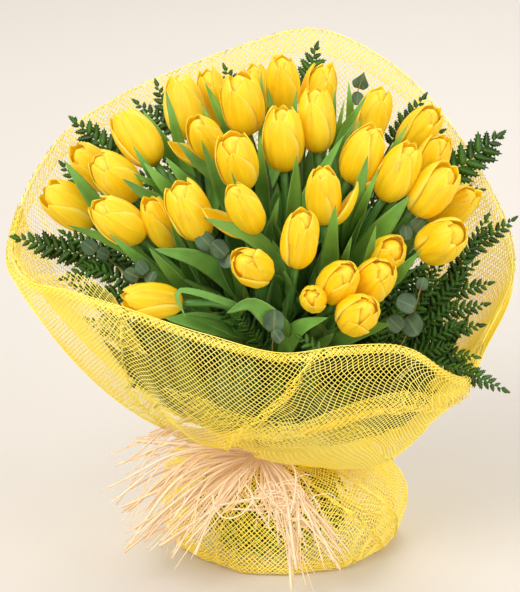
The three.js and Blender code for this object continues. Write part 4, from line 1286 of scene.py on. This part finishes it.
# Stretches round the axis that the sheets cover: from and to in degrees, and profiles there
COLLAR_RANGE = (-24.0, 204.0, 457)
FOLD_RANGE = (172.0, 348.0, 353)
SWAG_RANGE = (228.0, 384.0, 313)
WALL_RANGE = (222.0, 336.0, 265)
INNER_FOLD_RANGE = (193.0, 226.0, 80)
# How far the inner fold lies in from the collar and rises in its middle
INNER_FOLD_INSET = 6.0
INNER_FOLD_RISE = 13
# Points down a profile of a deep, a middling and a short sheet
DEEP = 60
MIDDLING = 40
SHORT = 24


def collar_place(turn, level, outset, droop=0.0):
    """Radius and height on the collar's surface, which rises from the neck (level 0) to the rim (1).

    Radius and height follow powers of the level, so that the collar flares like a bell, the most
    at the front right, where it sags. outset is out and down from the surface, droop is down.
    """
    sag = 1 + SAG * np.maximum(0, cosine_of(turn - SAG_TURN)) ** 2
    rim_radius = eased_round(RIM, turn, 1)
    rim_height = eased_round(RIM, turn, 2)
    level = np.maximum(level, 0)
    radius = NECK_RADIUS + (rim_radius - NECK_RADIUS) * level ** (OUT_POWER / sag) + outset
    height = COLLAR_FLARE + (rim_height - COLLAR_FLARE) * level ** (UP_POWER * sag) - outset - droop
    return radius, height


def net_distance(steps, squeezed):
    """Length of steps, less the squeezed share of the square that they run along the line of sight."""
    deep = (steps * TOWARD).sum(-1)
    return np.sqrt(np.maximum((steps ** 2).sum(-1) - squeezed * deep ** 2, TINY))


def evenly(profiles, count, squeezed):
    """Profiles of shape (profiles, points, 3) at even net distances along each, and their lengths."""
    run = np.cumsum(net_distance(np.diff(profiles, axis=1), squeezed), axis=1)
    run = np.pad(run, ((0, 0), (1, 0)))
    share = np.linspace(0, 1, count)
    even = [
        [np.interp(share * along[-1], along, profile[:, axis]) for axis in range(3)]
        for along, profile in zip(run, profiles)
    ]
    return np.transpose(even, (0, 2, 1)), run[:, -1]


def looked_up(table, column, row):
    """Values of a table between its columns and rows, weighted by nearness."""
    low_column = np.clip(np.floor(column).astype(int), 0, table.shape[0] - 2)
    low_row = np.clip(np.floor(row).astype(int), 0, table.shape[1] - 2)
    x = (column - low_column)[..., None]
    y = (row - low_row)[..., None]
    near = table[low_column, low_row] * (1 - y) + table[low_column, low_row + 1] * y
    far = table[low_column + 1, low_row] * (1 - y) + table[low_column + 1, low_row + 1] * y
    return near * (1 - x) + far * x


def net_over(profiles, held, squeezed, step, cell, wide):
    """Net threads on a surface given by profiles (columns, points, 3), in both diagonal directions.

    A place on the net is its distance down a profile and its distance round from the middle
    profile. Where held is 1 cells keep their width, so threads run off the sides as the surface
    narrows; where it is 0 all threads are gathered in. Along a thread the two distances change alike.
    squeezed shortens distances along the line of sight, so that cells look even from the front.
    step is a thread's station spacing in cells. Gives the threads and their whole length.
    """
    table, lengths = evenly(profiles, NET_ROWS, squeezed)
    normals = unit(np.cross(np.gradient(table, axis=0), np.gradient(table, axis=1)))
    round_run = np.cumsum(net_distance(np.diff(table, axis=0), SQUEEZED_ROUND * squeezed), axis=0)
    round_run = np.pad(round_run, ((1, 0), (0, 0)))
    round_run = round_run - round_run[len(table) // 2]
    widest = round_run[:, np.argmax(round_run[-1] - round_run[0])]
    round_run = held * round_run + (1 - held) * widest[:, None]
    down = np.arange(0, lengths.max() + step * cell, step * cell)
    columns = np.arange(len(table))
    share = np.minimum(down[None, :] / lengths[:, None], 1)
    places = looked_up(round_run[..., None], columns[:, None] + 0.0, share * (NET_ROWS - 1))[..., 0]
    most = math.ceil((np.abs(places).max() + down[-1]) / cell)
    shapes = []
    whole = 0.0
    for slope in (1, -1):
        wanted = np.arange(-most, most + 1)[:, None] * cell + slope * down[None, :]
        by_row = zip(wanted.T, places.T)
        column = np.stack([np.interp(at, place, columns) for at, place in by_row], axis=1)
        reached = down[None, :] / np.interp(column, columns, lengths)
        inside = (wanted >= places[0]) & (wanted <= places[-1]) & (reached < 1)
        row = np.minimum(reached, 1) * (NET_ROWS - 1)
        paths = looked_up(table, column, row)
        steps = length_of(np.diff(paths, axis=1))[..., 0]
        kept = (inside[:, :-1] | inside[:, 1:]) & (steps > SHORTEST_STEP)
        whole += steps[kept].sum()
        facing = looked_up(normals, column, row)
        shapes.append(tubes(paths, facing, wide, wide * THREAD_FLATNESS, THREAD_SIDES, kept))
    return together(shapes), whole


def folded_over(turn, crease, width, overlap):
    """Shift round the axis and lift outwards that lay the net over itself along a crease."""
    away = (turn - crease) / width
    bell = np.exp(-away ** 2)
    return -overlap * width * away * bell, bell


def creases_at(turn, way, creases):
    """Shift and lift of each crease, whose place goes its way from the neck (0) to the rim (1)."""
    for at_neck, at_rim, width, overlap in creases:
        yield folded_over(turn, at_neck + (at_rim - at_neck) * way, width, overlap)


def faded(turn, stretch, width):
    """1 along a stretch round the axis, and down to 0 over a width at both of its ends."""
    return np.clip((turn - stretch[0]) / width, 0, 1) * np.clip((stretch[1] - turn) / width, 0, 1)


def collar_profiles():
    """The back of the collar from the neck to the rim, waved towards the rim and gathered to the neck.

    At the rim the net is turned over to the outside as a hem.
    """
    turn = np.linspace(*COLLAR_RANGE)[:, None]
    level = row_of(DEEP) ** 1.4
    gather = 2.4 * cosine_of(29 * turn) * np.exp(-6 * level) * np.minimum(1, 40 * level)
    wave = 2.2 * sine_of(5 * turn + 40) + 1.6 * sine_of(9 * turn)
    radius, height = collar_place(turn, level, 0.0)
    flare = round_axis(turn, radius + gather + wave * level ** 2, height)
    radius, height = collar_place(turn, np.array(HEM_LEVELS)[None, :], np.array(HEM_OUTSETS)[None, :])
    hem = round_axis(turn, radius + wave, height)
    foot = round_axis(turn, NECK_RADIUS, np.array([COLLAR_FOOT, COLLAR_FOOT + 4])[None, :])
    return np.concatenate([foot, flare, hem], axis=1)


# The hem of the collar from the rim down its outside: levels and outsets
HEM_LEVELS = (1.004, 1.004, 1.0, 0.985, 0.965, 0.955)
HEM_OUTSETS = (0.6, 1.6, 2.2, 2.4, 2.4, 2.2)
# How far down the front fold hangs: degrees from the right, level of its lower edge
FOLD_EDGE = (
    (172, 188, 205, 225, 240, 250, 260, 270, 282, 296, 309, 325, 336, 348),
    (0.35, 0.14, 0.09, 0.1, 0.17, 0.27, 0.39, 0.475, 0.53, 0.64, 0.72, 0.82, 0.91, 0.95),
)
# How far the fold hangs out from the collar, the collar's length up its side, the outset of the
# upper roll, and the rolls: from and to in degrees, inner and outer radius, points
FOLD_OUTSET = 10.2
COLLAR_LENGTH = 220.0
TOP_ROLL_OUTSET = 4.0
TOP_ROLL = 4.4
LOW_ROLL = 3.8
TOP_SPIRAL = (600, 0, 2.4, TOP_ROLL, 36)
LOW_SPIRAL = (0, -560, 2.0, LOW_ROLL, 30)
# Widths in degrees over which the fold and the swag fade at their ends
FOLD_FADE = 14
SWAG_FADE = 20
# Creases: degrees at the neck and at the rim, width in degrees and how far the net is laid over
FOLD_CREASES = [(239, 281, 4.5, 2.3), (205, 232, 3.5, 1.3), (318, 309, 3.0, 1.0)]
SWAG_CREASES = [(380, 245, 4.0, 1.6), (268, 236, 3.5, 1.1), (388, 350, 4.0, 1.1)]
# How far the swag droops: degrees from the right, millimetres
SWAG_DROOP = ((228, 245, 262, 280, 300, 320, 340, 355, 370, 384), (0, 1, 3, 8, 13, 16, 15, 9, 4, 0))


def rolled(start, end, small, large, count):
    """A rolled edge in section: steps up along the collar (as level) and out from it, along a spiral."""
    angle = np.radians(np.linspace(start, end, count))[None, :]
    radius = np.interp(np.abs(angle), [0, np.abs(angle).max()], [large, small])
    return radius * np.sin(angle) / COLLAR_LENGTH, radius * np.cos(angle) / math.sqrt(2)


def fold_profiles():
    """The front fold: rolled over the rim, down outside the collar, and rolled in at its lower edge.

    A crease runs from the rim at the front down to the left, where two drapes meet. Near its ends
    the fold lies closer to the collar.
    """
    turn = np.linspace(*FOLD_RANGE)[:, None]
    low = eased(*FOLD_EDGE, turn)
    fade = faded(turn, FOLD_RANGE, FOLD_FADE)
    closer = 0.35 + 0.65 * fade
    up, out = rolled(*TOP_SPIRAL)
    roll_level = 0.997 + up + 0 * turn
    roll_outset = (TOP_ROLL_OUTSET + out) * closer
    share = row_of(MIDDLING)
    main_level = 0.975 - (0.975 - low - 0.03) * share
    belly = 1.5 * np.sin(np.pi * share)
    set_in = (FOLD_OUTSET - TOP_ROLL_OUTSET - TOP_ROLL / math.sqrt(2)) * (1 - share) ** 8
    main_outset = (FOLD_OUTSET + belly - set_in) * closer
    up, out = rolled(*LOW_SPIRAL)
    under_level = low + 0.015 + up
    under_outset = (FOLD_OUTSET - LOW_ROLL / math.sqrt(2) + out) * closer
    level = np.concatenate([roll_level, main_level, under_level], axis=1)
    outset = np.concatenate([roll_outset, main_outset, under_outset], axis=1)
    drape = 1.4 * sine_of(11 * turn + 150 * level) + 1.0 * sine_of(19 * turn - 90 * level)
    weight = fade * np.clip((1.02 - level) / 0.1, 0, 1)
    moved = 0.0
    lift = drape * np.clip((level - low) / 0.15, 0, 1)
    for shift, bell in creases_at(turn, np.clip(level, 0, 1), FOLD_CREASES):
        moved = moved + shift * weight
        lift = lift + 3.0 * bell
    radius, height = collar_place(turn + moved, level, outset + lift * weight)
    return round_axis(turn + moved, radius, height)


def swag_profiles():
    """The lower swag: from under the front fold it sags below the tie and gathers into the neck."""
    turn = np.linspace(*SWAG_RANGE)[:, None]
    top = np.minimum(eased(*FOLD_EDGE, np.minimum(turn, FOLD_RANGE[1])) + 0.1, 0.97)
    droop = eased(*SWAG_DROOP, turn)
    fade = faded(turn, SWAG_RANGE, SWAG_FADE)
    share = row_of(DEEP)
    level = 0.004 + (top - 0.004) * (1 - share) ** 1.3
    belly = np.sin(np.pi * np.minimum(level / 0.62, 1)) ** 0.8
    outset = (1.2 + 4.6 * np.minimum(1, 8 * level) * (1 - share ** 8)) * fade
    gather = 1.5 * cosine_of(33 * turn) * np.exp(-9 * level) * fade
    lift = 0.8 * sine_of(7 * turn + 120 * level) * fade * belly
    moved = 0.0
    for shift, bell in creases_at(turn, np.clip(level, 0, 1), SWAG_CREASES):
        moved = moved + shift * fade * belly
        lift = lift + 2.5 * bell * fade * belly
    radius, height = collar_place(turn + moved, level, outset + gather + lift, droop * belly)
    return round_axis(turn + moved, radius, height)


def inner_wall_profiles():
    """The lower half of the collar's own front wall, inside the front fold and the swag."""
    turn = np.linspace(*WALL_RANGE)[:, None]
    level = 0.03 + 0.5 * row_of(MIDDLING)
    slack = 1.5 * sine_of(7 * turn + 130 * level) + 1.2 * sine_of(13 * turn - 60 * level)
    radius, height = collar_place(turn, level, slack * level - 1.0)
    return round_axis(turn, radius, height)


def inner_fold_profiles():
    """A short inner fold that stands above the rim at the left."""
    start, end, _ = INNER_FOLD_RANGE
    turn = np.linspace(*INNER_FOLD_RANGE)[:, None]
    share = row_of(SHORT)
    bump = np.clip(np.sin(np.pi * (turn - start) / (end - start)), 0, 1) ** 0.7
    radius, height = collar_place(turn, 1.0 - 0.3 * share, -INNER_FOLD_INSET - 2 * share)
    rise = INNER_FOLD_RISE * bump * (1 - share) ** 1.5
    return round_axis(turn, radius + 3 * share, height + rise - 4)


# Creases of the skirt: degrees at the neck and at the hem, width in degrees, overlap
SKIRT_CREASES = [
    (290, 340, 5.5, 2.3),
    (316, 352, 5.0, 2.2),
    (232, 206, 4.5, 1.2),
    (256, 240, 4.0, 1.0),
    (20, 44, 5.0, 1.2),
    (74, 84, 5.0, 1.3),
    (122, 108, 5.0, 1.2),
    (168, 150, 5.0, 1.2),
]
# Where the skirt's ends meet, in degrees, its profiles, and how far in its lining lies
SKIRT_SEAM = 90.0
SKIRT_PROFILES = 901
LINING_INSET = 7
# Down the skirt: height, and the share of the way out from the neck to the full width
SKIRT_HEIGHTS = (SKIRT_TOP, 99, 95, 92, 88, 84, 78, 70, 60, 46, 32, 20, 10, 3.5, 0.9, 2.6, 7)
SKIRT_OUT = (0, 0, 0.03, 0.17, 0.4, 0.58, 0.74, 0.86, 0.95, 1, 1, 0.965, 0.9, 0.83, 0.79, 0.78, 0.8)
HEM_OUT = 0.79


def skirt_profiles(inset):
    """The skirt: gathered at the neck, full at half height, drawn in to the hem, with long creases.

    The lining is the same form drawn in by an inset, and turned by it so that its creases lie apart.
    """
    turn = np.linspace(SKIRT_SEAM, SKIRT_SEAM + TURN, SKIRT_PROFILES)[:, None]
    full = eased_round(SKIRT, turn, 1)
    hem = eased_round(SKIRT, turn, 2)
    height = np.array(SKIRT_HEIGHTS)[None, :]
    out = np.array(SKIRT_OUT)[None, :]
    hem_share = (hem - NECK_RADIUS) / (full - NECK_RADIUS)
    low = np.clip((20 - height) / 20, 0, 1)
    out = out * (1 - low) + hem_share * (out / HEM_OUT) * low
    radius = NECK_RADIUS + (full - NECK_RADIUS) * out
    bulge = np.minimum(1, 2.2 * out)
    gather = 1.5 * cosine_of(31 * turn) * np.clip(out * 8, 0, 1) * np.exp(-2.2 * out)
    uneven = 1.6 * sine_of(7 * turn + 50) + 1.1 * sine_of(13 * turn + 0.8 * height)
    moved = 1.3 * inset
    lift = (uneven - inset) * bulge
    for at_neck, at_hem, width, overlap in SKIRT_CREASES:
        crease = at_hem + (at_neck - at_hem) * height / SKIRT_TOP
        for round_trip in (0, TURN):
            shift, bell = folded_over(turn, crease + round_trip, width, overlap)
            moved = moved + shift * bulge * (1 - 0.6 * low)
            lift = lift + 3.5 * bell * bulge * (1 - 0.7 * low)
    return round_axis(turn + moved, radius + gather + lift, height + 0 * turn)


# Raffia: the knot, and each tail by a pixel on the way, its end pixel and the distance toward the
# viewer at its end
KNOT_PIXEL = (261, 456)
KNOT_NEAR = 37.2
TAILS = [
    ((190, 438), (107, 470), 66),
    ((185, 432), (140, 446), 60),
    ((178, 458), (104, 505), 78),
    ((182, 472), (123, 516), 84),
    ((196, 462), (128, 532), 92),
    ((190, 490), (127, 551), 98),
    ((205, 492), (147, 557), 106),
    ((212, 500), (172, 556), 112),
    ((230, 490), (185, 563), 118),
    ((243, 486), (231, 519), 112),
    ((262, 496), (270, 520), 118),
    ((276, 492), (292, 568), 124),
    ((284, 500), (308, 588), 124),
    ((292, 494), (346, 575), 118),
    ((298, 490), (348, 562), 116),
    ((288, 482), (300, 540), 120),
]
STRANDS_A_TAIL = 10
# How far a strand may be from its start, its way and its end: in pixels, and toward the viewer
START_UNEVEN = (5, 3)
WAY_UNEVEN = (14, 7)
END_UNEVEN = (15, 8)
# How far strands stand out on their way, the most that is cut off as a share, how much narrower
# that leaves a strand, the size of its waves, and the most that it bends away at its kink
WAY_OUT = 14
MOST_CUT = 0.35
CUT_NARROWS = 2.4
STRAND_WAVES = 2.6
STRAND_KINK = 14
STRAND_STATIONS = 26
CURLS = 34
LOOSE_LOOP = ((246, 484), (253, 498), (240, 514), (225, 517), (215, 507), (213, 494))
# Half of a strand's thickness, its half width at the narrowest and how much wider others are
STRAND_THICKNESS = 0.32
STRAND_WIDTH = 0.5
STRAND_WIDER = 2.2
# The turns of the tie: how many, half of the height they take up, how far out from the neck, and
# the height of their middle
TIE_TURNS = 16
TIE_TURNS_HALF = 5.2
TIE_TURNS_OUT = 2.3
RAFFIA_HEIGHT = 103.8
KNOT_LOOPS = 6
# Curls: where they start, from and to in pixels, and their distance toward the viewer; that of the
# loose loop; points along them, a curl's thickness, and how far it drifts
CURL_PLACES = ((256, 482), (312, 524))
CURL_NEAR = 112
LOOP_NEAR = 118.0
CURL_STATIONS = 40
CURL_RADIUS = 0.4
CURL_DRIFT = 14


def raffia_strands():
    """Flat strands from the knot, a bundle to each tail, fanned out, bent and twisted as dry fibre is.

    Half of a bundle sets out toward the tail beside it and crosses over. The shorter a strand is cut,
    the narrower it is.
    """
    paths, normals, cuts = [], [], []
    share = np.linspace(0, 1, STRAND_STATIONS)
    for tail, (_, end, near) in enumerate(TAILS):
        for strand in range(STRANDS_A_TAIL):
            crossing = (strand % 4 == 1) - (strand % 4 == 3)
            way = TAILS[min(max(tail + crossing, 0), len(TAILS) - 1)][0]
            loose = 0.2 if strand == 0 else 1.0
            start_pixel = KNOT_PIXEL + either_way(START_UNEVEN[0], 2)
            start = seen(start_pixel, KNOT_NEAR + either_way(START_UNEVEN[1]))
            middle_near = (KNOT_NEAR + near) / 2 + WAY_OUT + loose * either_way(WAY_UNEVEN[1])
            middle = seen(way + loose * either_way(WAY_UNEVEN[0], 2), middle_near)
            cut = loose * chance.uniform(0, MOST_CUT)
            end_pixel = end + loose * either_way(END_UNEVEN[0], 2)
            finish = seen(end_pixel, near + loose * either_way(END_UNEVEN[1]))
            finish = middle + (finish - middle) * (1 - cut)
            path = along_path([start, middle, finish], STRAND_STATIONS)
            tangent = unit(path[-1] - path[0])
            sideways = unit(np.cross(tangent, TOWARD))
            waves = np.sin(share * chance.uniform(2, 6) + chance.uniform(0, 6))
            bend = loose * STRAND_WAVES * waves * share ** 1.5
            kink = chance.uniform(0.5, 0.9)
            bend = bend + loose * either_way(STRAND_KINK) * np.maximum(share - kink, 0)
            path = path + sideways * bend[:, None]
            path[:, 2] = np.maximum(path[:, 2], 0.8)
            turn = either_way(0.5) + either_way(1.2) * share
            facing, axis = np.broadcast_arrays(TOWARD, np.broadcast_to(tangent, path.shape))
            paths.append(path)
            normals.append(turned(facing, axis, turn))
            cuts.append(cut)
    count = len(paths)
    wider = STRAND_WIDER * chance.uniform(0, 1, count) ** 2 * (1 - CUT_NARROWS * np.array(cuts))
    wide = (STRAND_WIDTH + wider)[:, None] * (1 - 0.35 * share ** 5)
    tones = chance.uniform(0, 1, count)
    return tubes(np.stack(paths), np.stack(normals), wide, STRAND_THICKNESS, 4, tone=tones)


def raffia_curls():
    """Thin curled fibres that have come loose among the tails."""
    paths = []
    share = np.linspace(0, 1, CURL_STATIONS)
    starts = chance.uniform(*CURL_PLACES, (CURLS, 2))
    for index, pixel in enumerate(starts):
        size = chance.uniform(3, 13)
        sweep = chance.uniform(2.4, 5.2)
        angle = chance.uniform(0, 6.28) + sweep * share
        drift = np.outer(share, either_way(CURL_DRIFT, 2))
        around = np.stack([np.cos(angle), np.sin(angle) * 0.6], axis=1) * size
        near = CURL_NEAR + 6 * np.sin(3 * share + index)
        paths.append(seen(pixel + around - around[0] + drift, near))
    loop = along_path(seen(LOOSE_LOOP, LOOP_NEAR), CURL_STATIONS)
    return together([
        round_tubes(np.stack(paths), CURL_RADIUS, 4, 0.9),
        tubes(loop[None], np.broadcast_to(TOWARD, loop[None].shape), 0.8, 0.35, 5, tone=0.4),
    ])


def raffia_turns():
    """Strands wound round the neck, side by side and over each other."""
    turn = np.linspace(0, TURN, 97)
    paths = []
    for index in range(TIE_TURNS):
        level = -TIE_TURNS_HALF + 2 * TIE_TURNS_HALF * index / (TIE_TURNS - 1)
        lift = 1.1 * sine_of(turn * 2 + 70 * index) + 0.5 * sine_of(turn * 5)
        lift = lift * sine_of(turn / 2) ** 0.4
        over = 0.8 * (index * 0.37 % 1) + 0.4 * sine_of(turn * 3 + 50 * index)
        radius = NECK_RADIUS + TIE_TURNS_OUT + over
        paths.append(round_axis(turn, radius, RAFFIA_HEIGHT + level * 0.95 + lift * 0.8))
    paths = np.stack(paths)
    return tubes(paths, paths * (1, 1, 0), 0.5, 1.0, 5, tone=chance.uniform(0, 1, TIE_TURNS))


def knot_loops():
    """The knot: a few short loops wound tight where the tails start."""
    paths, normals = [], []
    middle = seen(KNOT_PIXEL, KNOT_NEAR)
    turn = np.linspace(0, 2 * np.pi, 33)
    for index in range(KNOT_LOOPS):
        lean = 0.5 * math.sin(index * 2.1)
        across = np.cos(turn) * (6.2 - 0.5 * index)
        around = np.stack([across, np.sin(turn) * lean * 3, np.sin(turn) * 5.0], axis=1)
        paths.append(middle + around + np.array([0, -1.0 + 0.5 * index, 0]))
        normals.append(around)
    tones = chance.uniform(0, 1, KNOT_LOOPS)
    return tubes(np.stack(paths), np.stack(normals), 1.0, 0.5, 5, tone=tones)


# Making


def numbered(name, index):
    """The name with its number, which counts from 01."""
    return f"{name}_{index + 1:02d}"


def make_blooms():
    """All blooms, one object each."""
    skin = petal_skin()
    for index, entry in enumerate(BLOOMS):
        node = numbered("tulip_bloom", index)
        piece(node + "_petals", bloom(index, *entry), skin, "petals", node)


def make_greens():
    """Stems and the leaves on them, in sight and under the blooms."""
    stems = round_tubes(STEM_PATHS, STEM_RADIUS, STEM_SIDES, chance.uniform(0, 1, len(BLOOMS)))
    stems.points[:, 2] = np.maximum(stems.points[:, 2], 0)
    piece("tulip_stems", stems, stem_skin(), "stems_and_leaves", "tulip_stems_and_leaves")
    leaf = leaf_skin()
    leaves = {
        "tulip_leaves": seen_leaves(),
        "tulip_under_leaves": under_leaves(UNDER_LEAVES),
        "tulip_low_leaves": low_leaves(LOW_LEAVES),
        "tulip_lining_leaves": lining_leaves(LINING_LEAVES),
    }
    for name, blades in leaves.items():
        piece(name, blades, leaf, "stems_and_leaves", "tulip_stems_and_leaves")


def make_sprays():
    """Ferns and eucalyptus, leaves and stalks apart, on stalks that end at the tie."""
    slots = spray_slots()
    fern = fern_skin()
    bark = stalk_skin()
    for index, fronds in enumerate(FERNS):
        node = numbered("fern_frond", index)
        parts, stalks = [], []
        for entry in fronds:
            shapes, root, onward = fern_frond(*entry)
            parts += shapes
            stalks.append(stalk_path(slots[index], root, onward))
        piece(node + "_leaflets", together(parts), fern, "fern", node)
        stalks = round_tubes(np.stack(stalks), FROND_STALK_RADIUS, 6, 1.0)
        piece(node + "_stalks", stalks, bark, "fern", node)
    eucalyptus = eucalyptus_skin()
    for index, entry in enumerate(EUCALYPTUS):
        node = numbered("eucalyptus_sprig", index)
        blades, stalks = eucalyptus_sprig(*entry, slots[len(FERNS) + index], index == 0)
        piece(node + "_leaves", blades, eucalyptus, "eucalyptus", node)
        piece(node + "_stalks", stalks, bark, "eucalyptus", node)


def make_net():
    """The sheets of net and the rim thread.

    The area a sheet was cut to is its threads' length times half of their flat spacing, because
    threads run both ways; its length is the mean drop of the profiles. A row of the list has the
    sheet, the CAD node, the profiles, and how much width cells hold, how far the line of sight is
    squeezed, a thread's step in cells, the cell and half of a thread's width.
    """
    thread = net_thread()
    turn = np.linspace(0, TURN, 361)
    rim = round_axis(turn, *collar_place(turn, 1.0, RIM_THREAD_OUT))
    sheets = [
        ("net_collar_back", "net_collar", collar_profiles(), 0.6, 0.0, 1.0, CELL, 0.39),
        ("net_front_wall", "net_collar", inner_wall_profiles(), 0.8, 0.6, 0.75, CELL * 1.3, 0.4),
        ("net_inner_fold", "net_collar", inner_fold_profiles(), 0.8, 0.5, 0.5, CELL * 1.4, 0.4),
        ("net_front_drape", "net_front_fold", fold_profiles(), 0.9, 0.85, 0.75, CELL, 0.43),
        ("net_lower_swag", "net_front_fold", swag_profiles(), 0.8, 0.7, 0.75, CELL * 0.76, 0.47),
        ("net_skirt_pleats", "net_skirt", skirt_profiles(0), 0.35, 0.0, 0.75, CELL * 0.92, 0.43),
        ("net_skirt_lining", "net_skirt", skirt_profiles(LINING_INSET), 0.35, 0.0, 1.0, CELL * 1.4, 0.4),
    ]
    for name, node, profiles, held, squeezed, step, cell, wide in sheets:
        shape, thread_run = net_over(profiles, held, squeezed, step, cell, wide)
        made = piece(name, shape, thread, "net", node)
        drop = evenly(profiles, 2, 0.0)[1].mean() * MM
        cut = thread_run * FLAT_SPACING / 2 * MM * MM
        cut / drop
    rim_thread = round_tubes(rim[None], RIM_THREAD_RADIUS, 5)
    piece("net_rim_thread", rim_thread, thread, "net", "net_collar")


def make_raffia():
    """The tails with their curls and knot, and the turns of the tie."""
    fibre = raffia_fibre()
    loose = together([raffia_strands(), raffia_curls(), knot_loops()])
    piece("raffia_strands", loose, fibre, "raffia", "raffia_tails")
    piece("raffia_turns", raffia_turns(), fibre, "raffia", "raffia_tie")


def make_studio():
    """A pale floor, a pale world and soft lamps."""
    paint = Paint("studio_floor", Roughness=0.9)
    paint.shader.inputs["Base Color"].default_value = rgb("d2ccc6")
    bpy.ops.mesh.primitive_plane_add(size=14)
    floor = bpy.context.object
    floor.name = "studio_floor"
    floor.data.materials.append(paint.material)
    world = bpy.data.worlds.new("studio")
    bpy.context.scene.world = world
    world.use_nodes = True
    world.node_tree.nodes["Background"].inputs["Color"].default_value = rgb("fffaf2")
    world.node_tree.nodes["Background"].inputs["Strength"].default_value = 0.7
    bpy.context.scene.view_settings.view_transform = "Standard"
    # Name, place, size and power
    lamps = [
        ("key", (-1.6, -1.9, 2.4), 2.0, 70),
        ("fill", (1.9, -1.2, 1.2), 1.8, 22),
        ("back", (0.4, 1.6, 1.9), 1.4, 26),
    ]
    target = Vector((0, 0, 0.22))
    for name, place, size, power in lamps:
        light = bpy.data.lights.new(name, "AREA")
        light.size = size
        light.energy = power
        lamp = bpy.data.objects.new(name, light)
        lamp.location = place
        lamp.rotation_euler = (target - Vector(place)).to_track_quat("-Z", "Y").to_euler()
        bpy.context.scene.collection.objects.link(lamp)


# The camera: its distance, the picture in pixels, the distance toward it of the picture's middle,
# and the sensor's width
CAMERA_DISTANCE = 4000.0
PICTURE_SIZE = (520, 592)
MIDDLE_NEAR = 100.0
SENSOR_WIDTH = 36.0


def make_camera():
    """A long lens along the view's own line, so that a pixel is the same size near and far."""
    lens = bpy.data.cameras.new("camera")
    lens.sensor_fit = "HORIZONTAL"
    lens.sensor_width = SENSOR_WIDTH
    lens.lens = SENSOR_WIDTH * CAMERA_DISTANCE / (PICTURE_SIZE[0] * PIXEL)
    camera = bpy.data.objects.new("camera", lens)
    middle = seen((PICTURE_SIZE[0] / 2, PICTURE_SIZE[1] / 2), MIDDLE_NEAR)
    place = middle + TOWARD * CAMERA_DISTANCE
    axes = Matrix([RIGHT, PICTURE_UP, TOWARD]).transposed()
    camera.matrix_world = Matrix.Translation(Vector(place * MM)) @ axes.to_4x4()
    bpy.context.scene.collection.objects.link(camera)
    bpy.context.scene.camera = camera


make_camera()
make_studio()
make_blooms()
make_greens()
make_sprays()
make_net()
make_raffia()
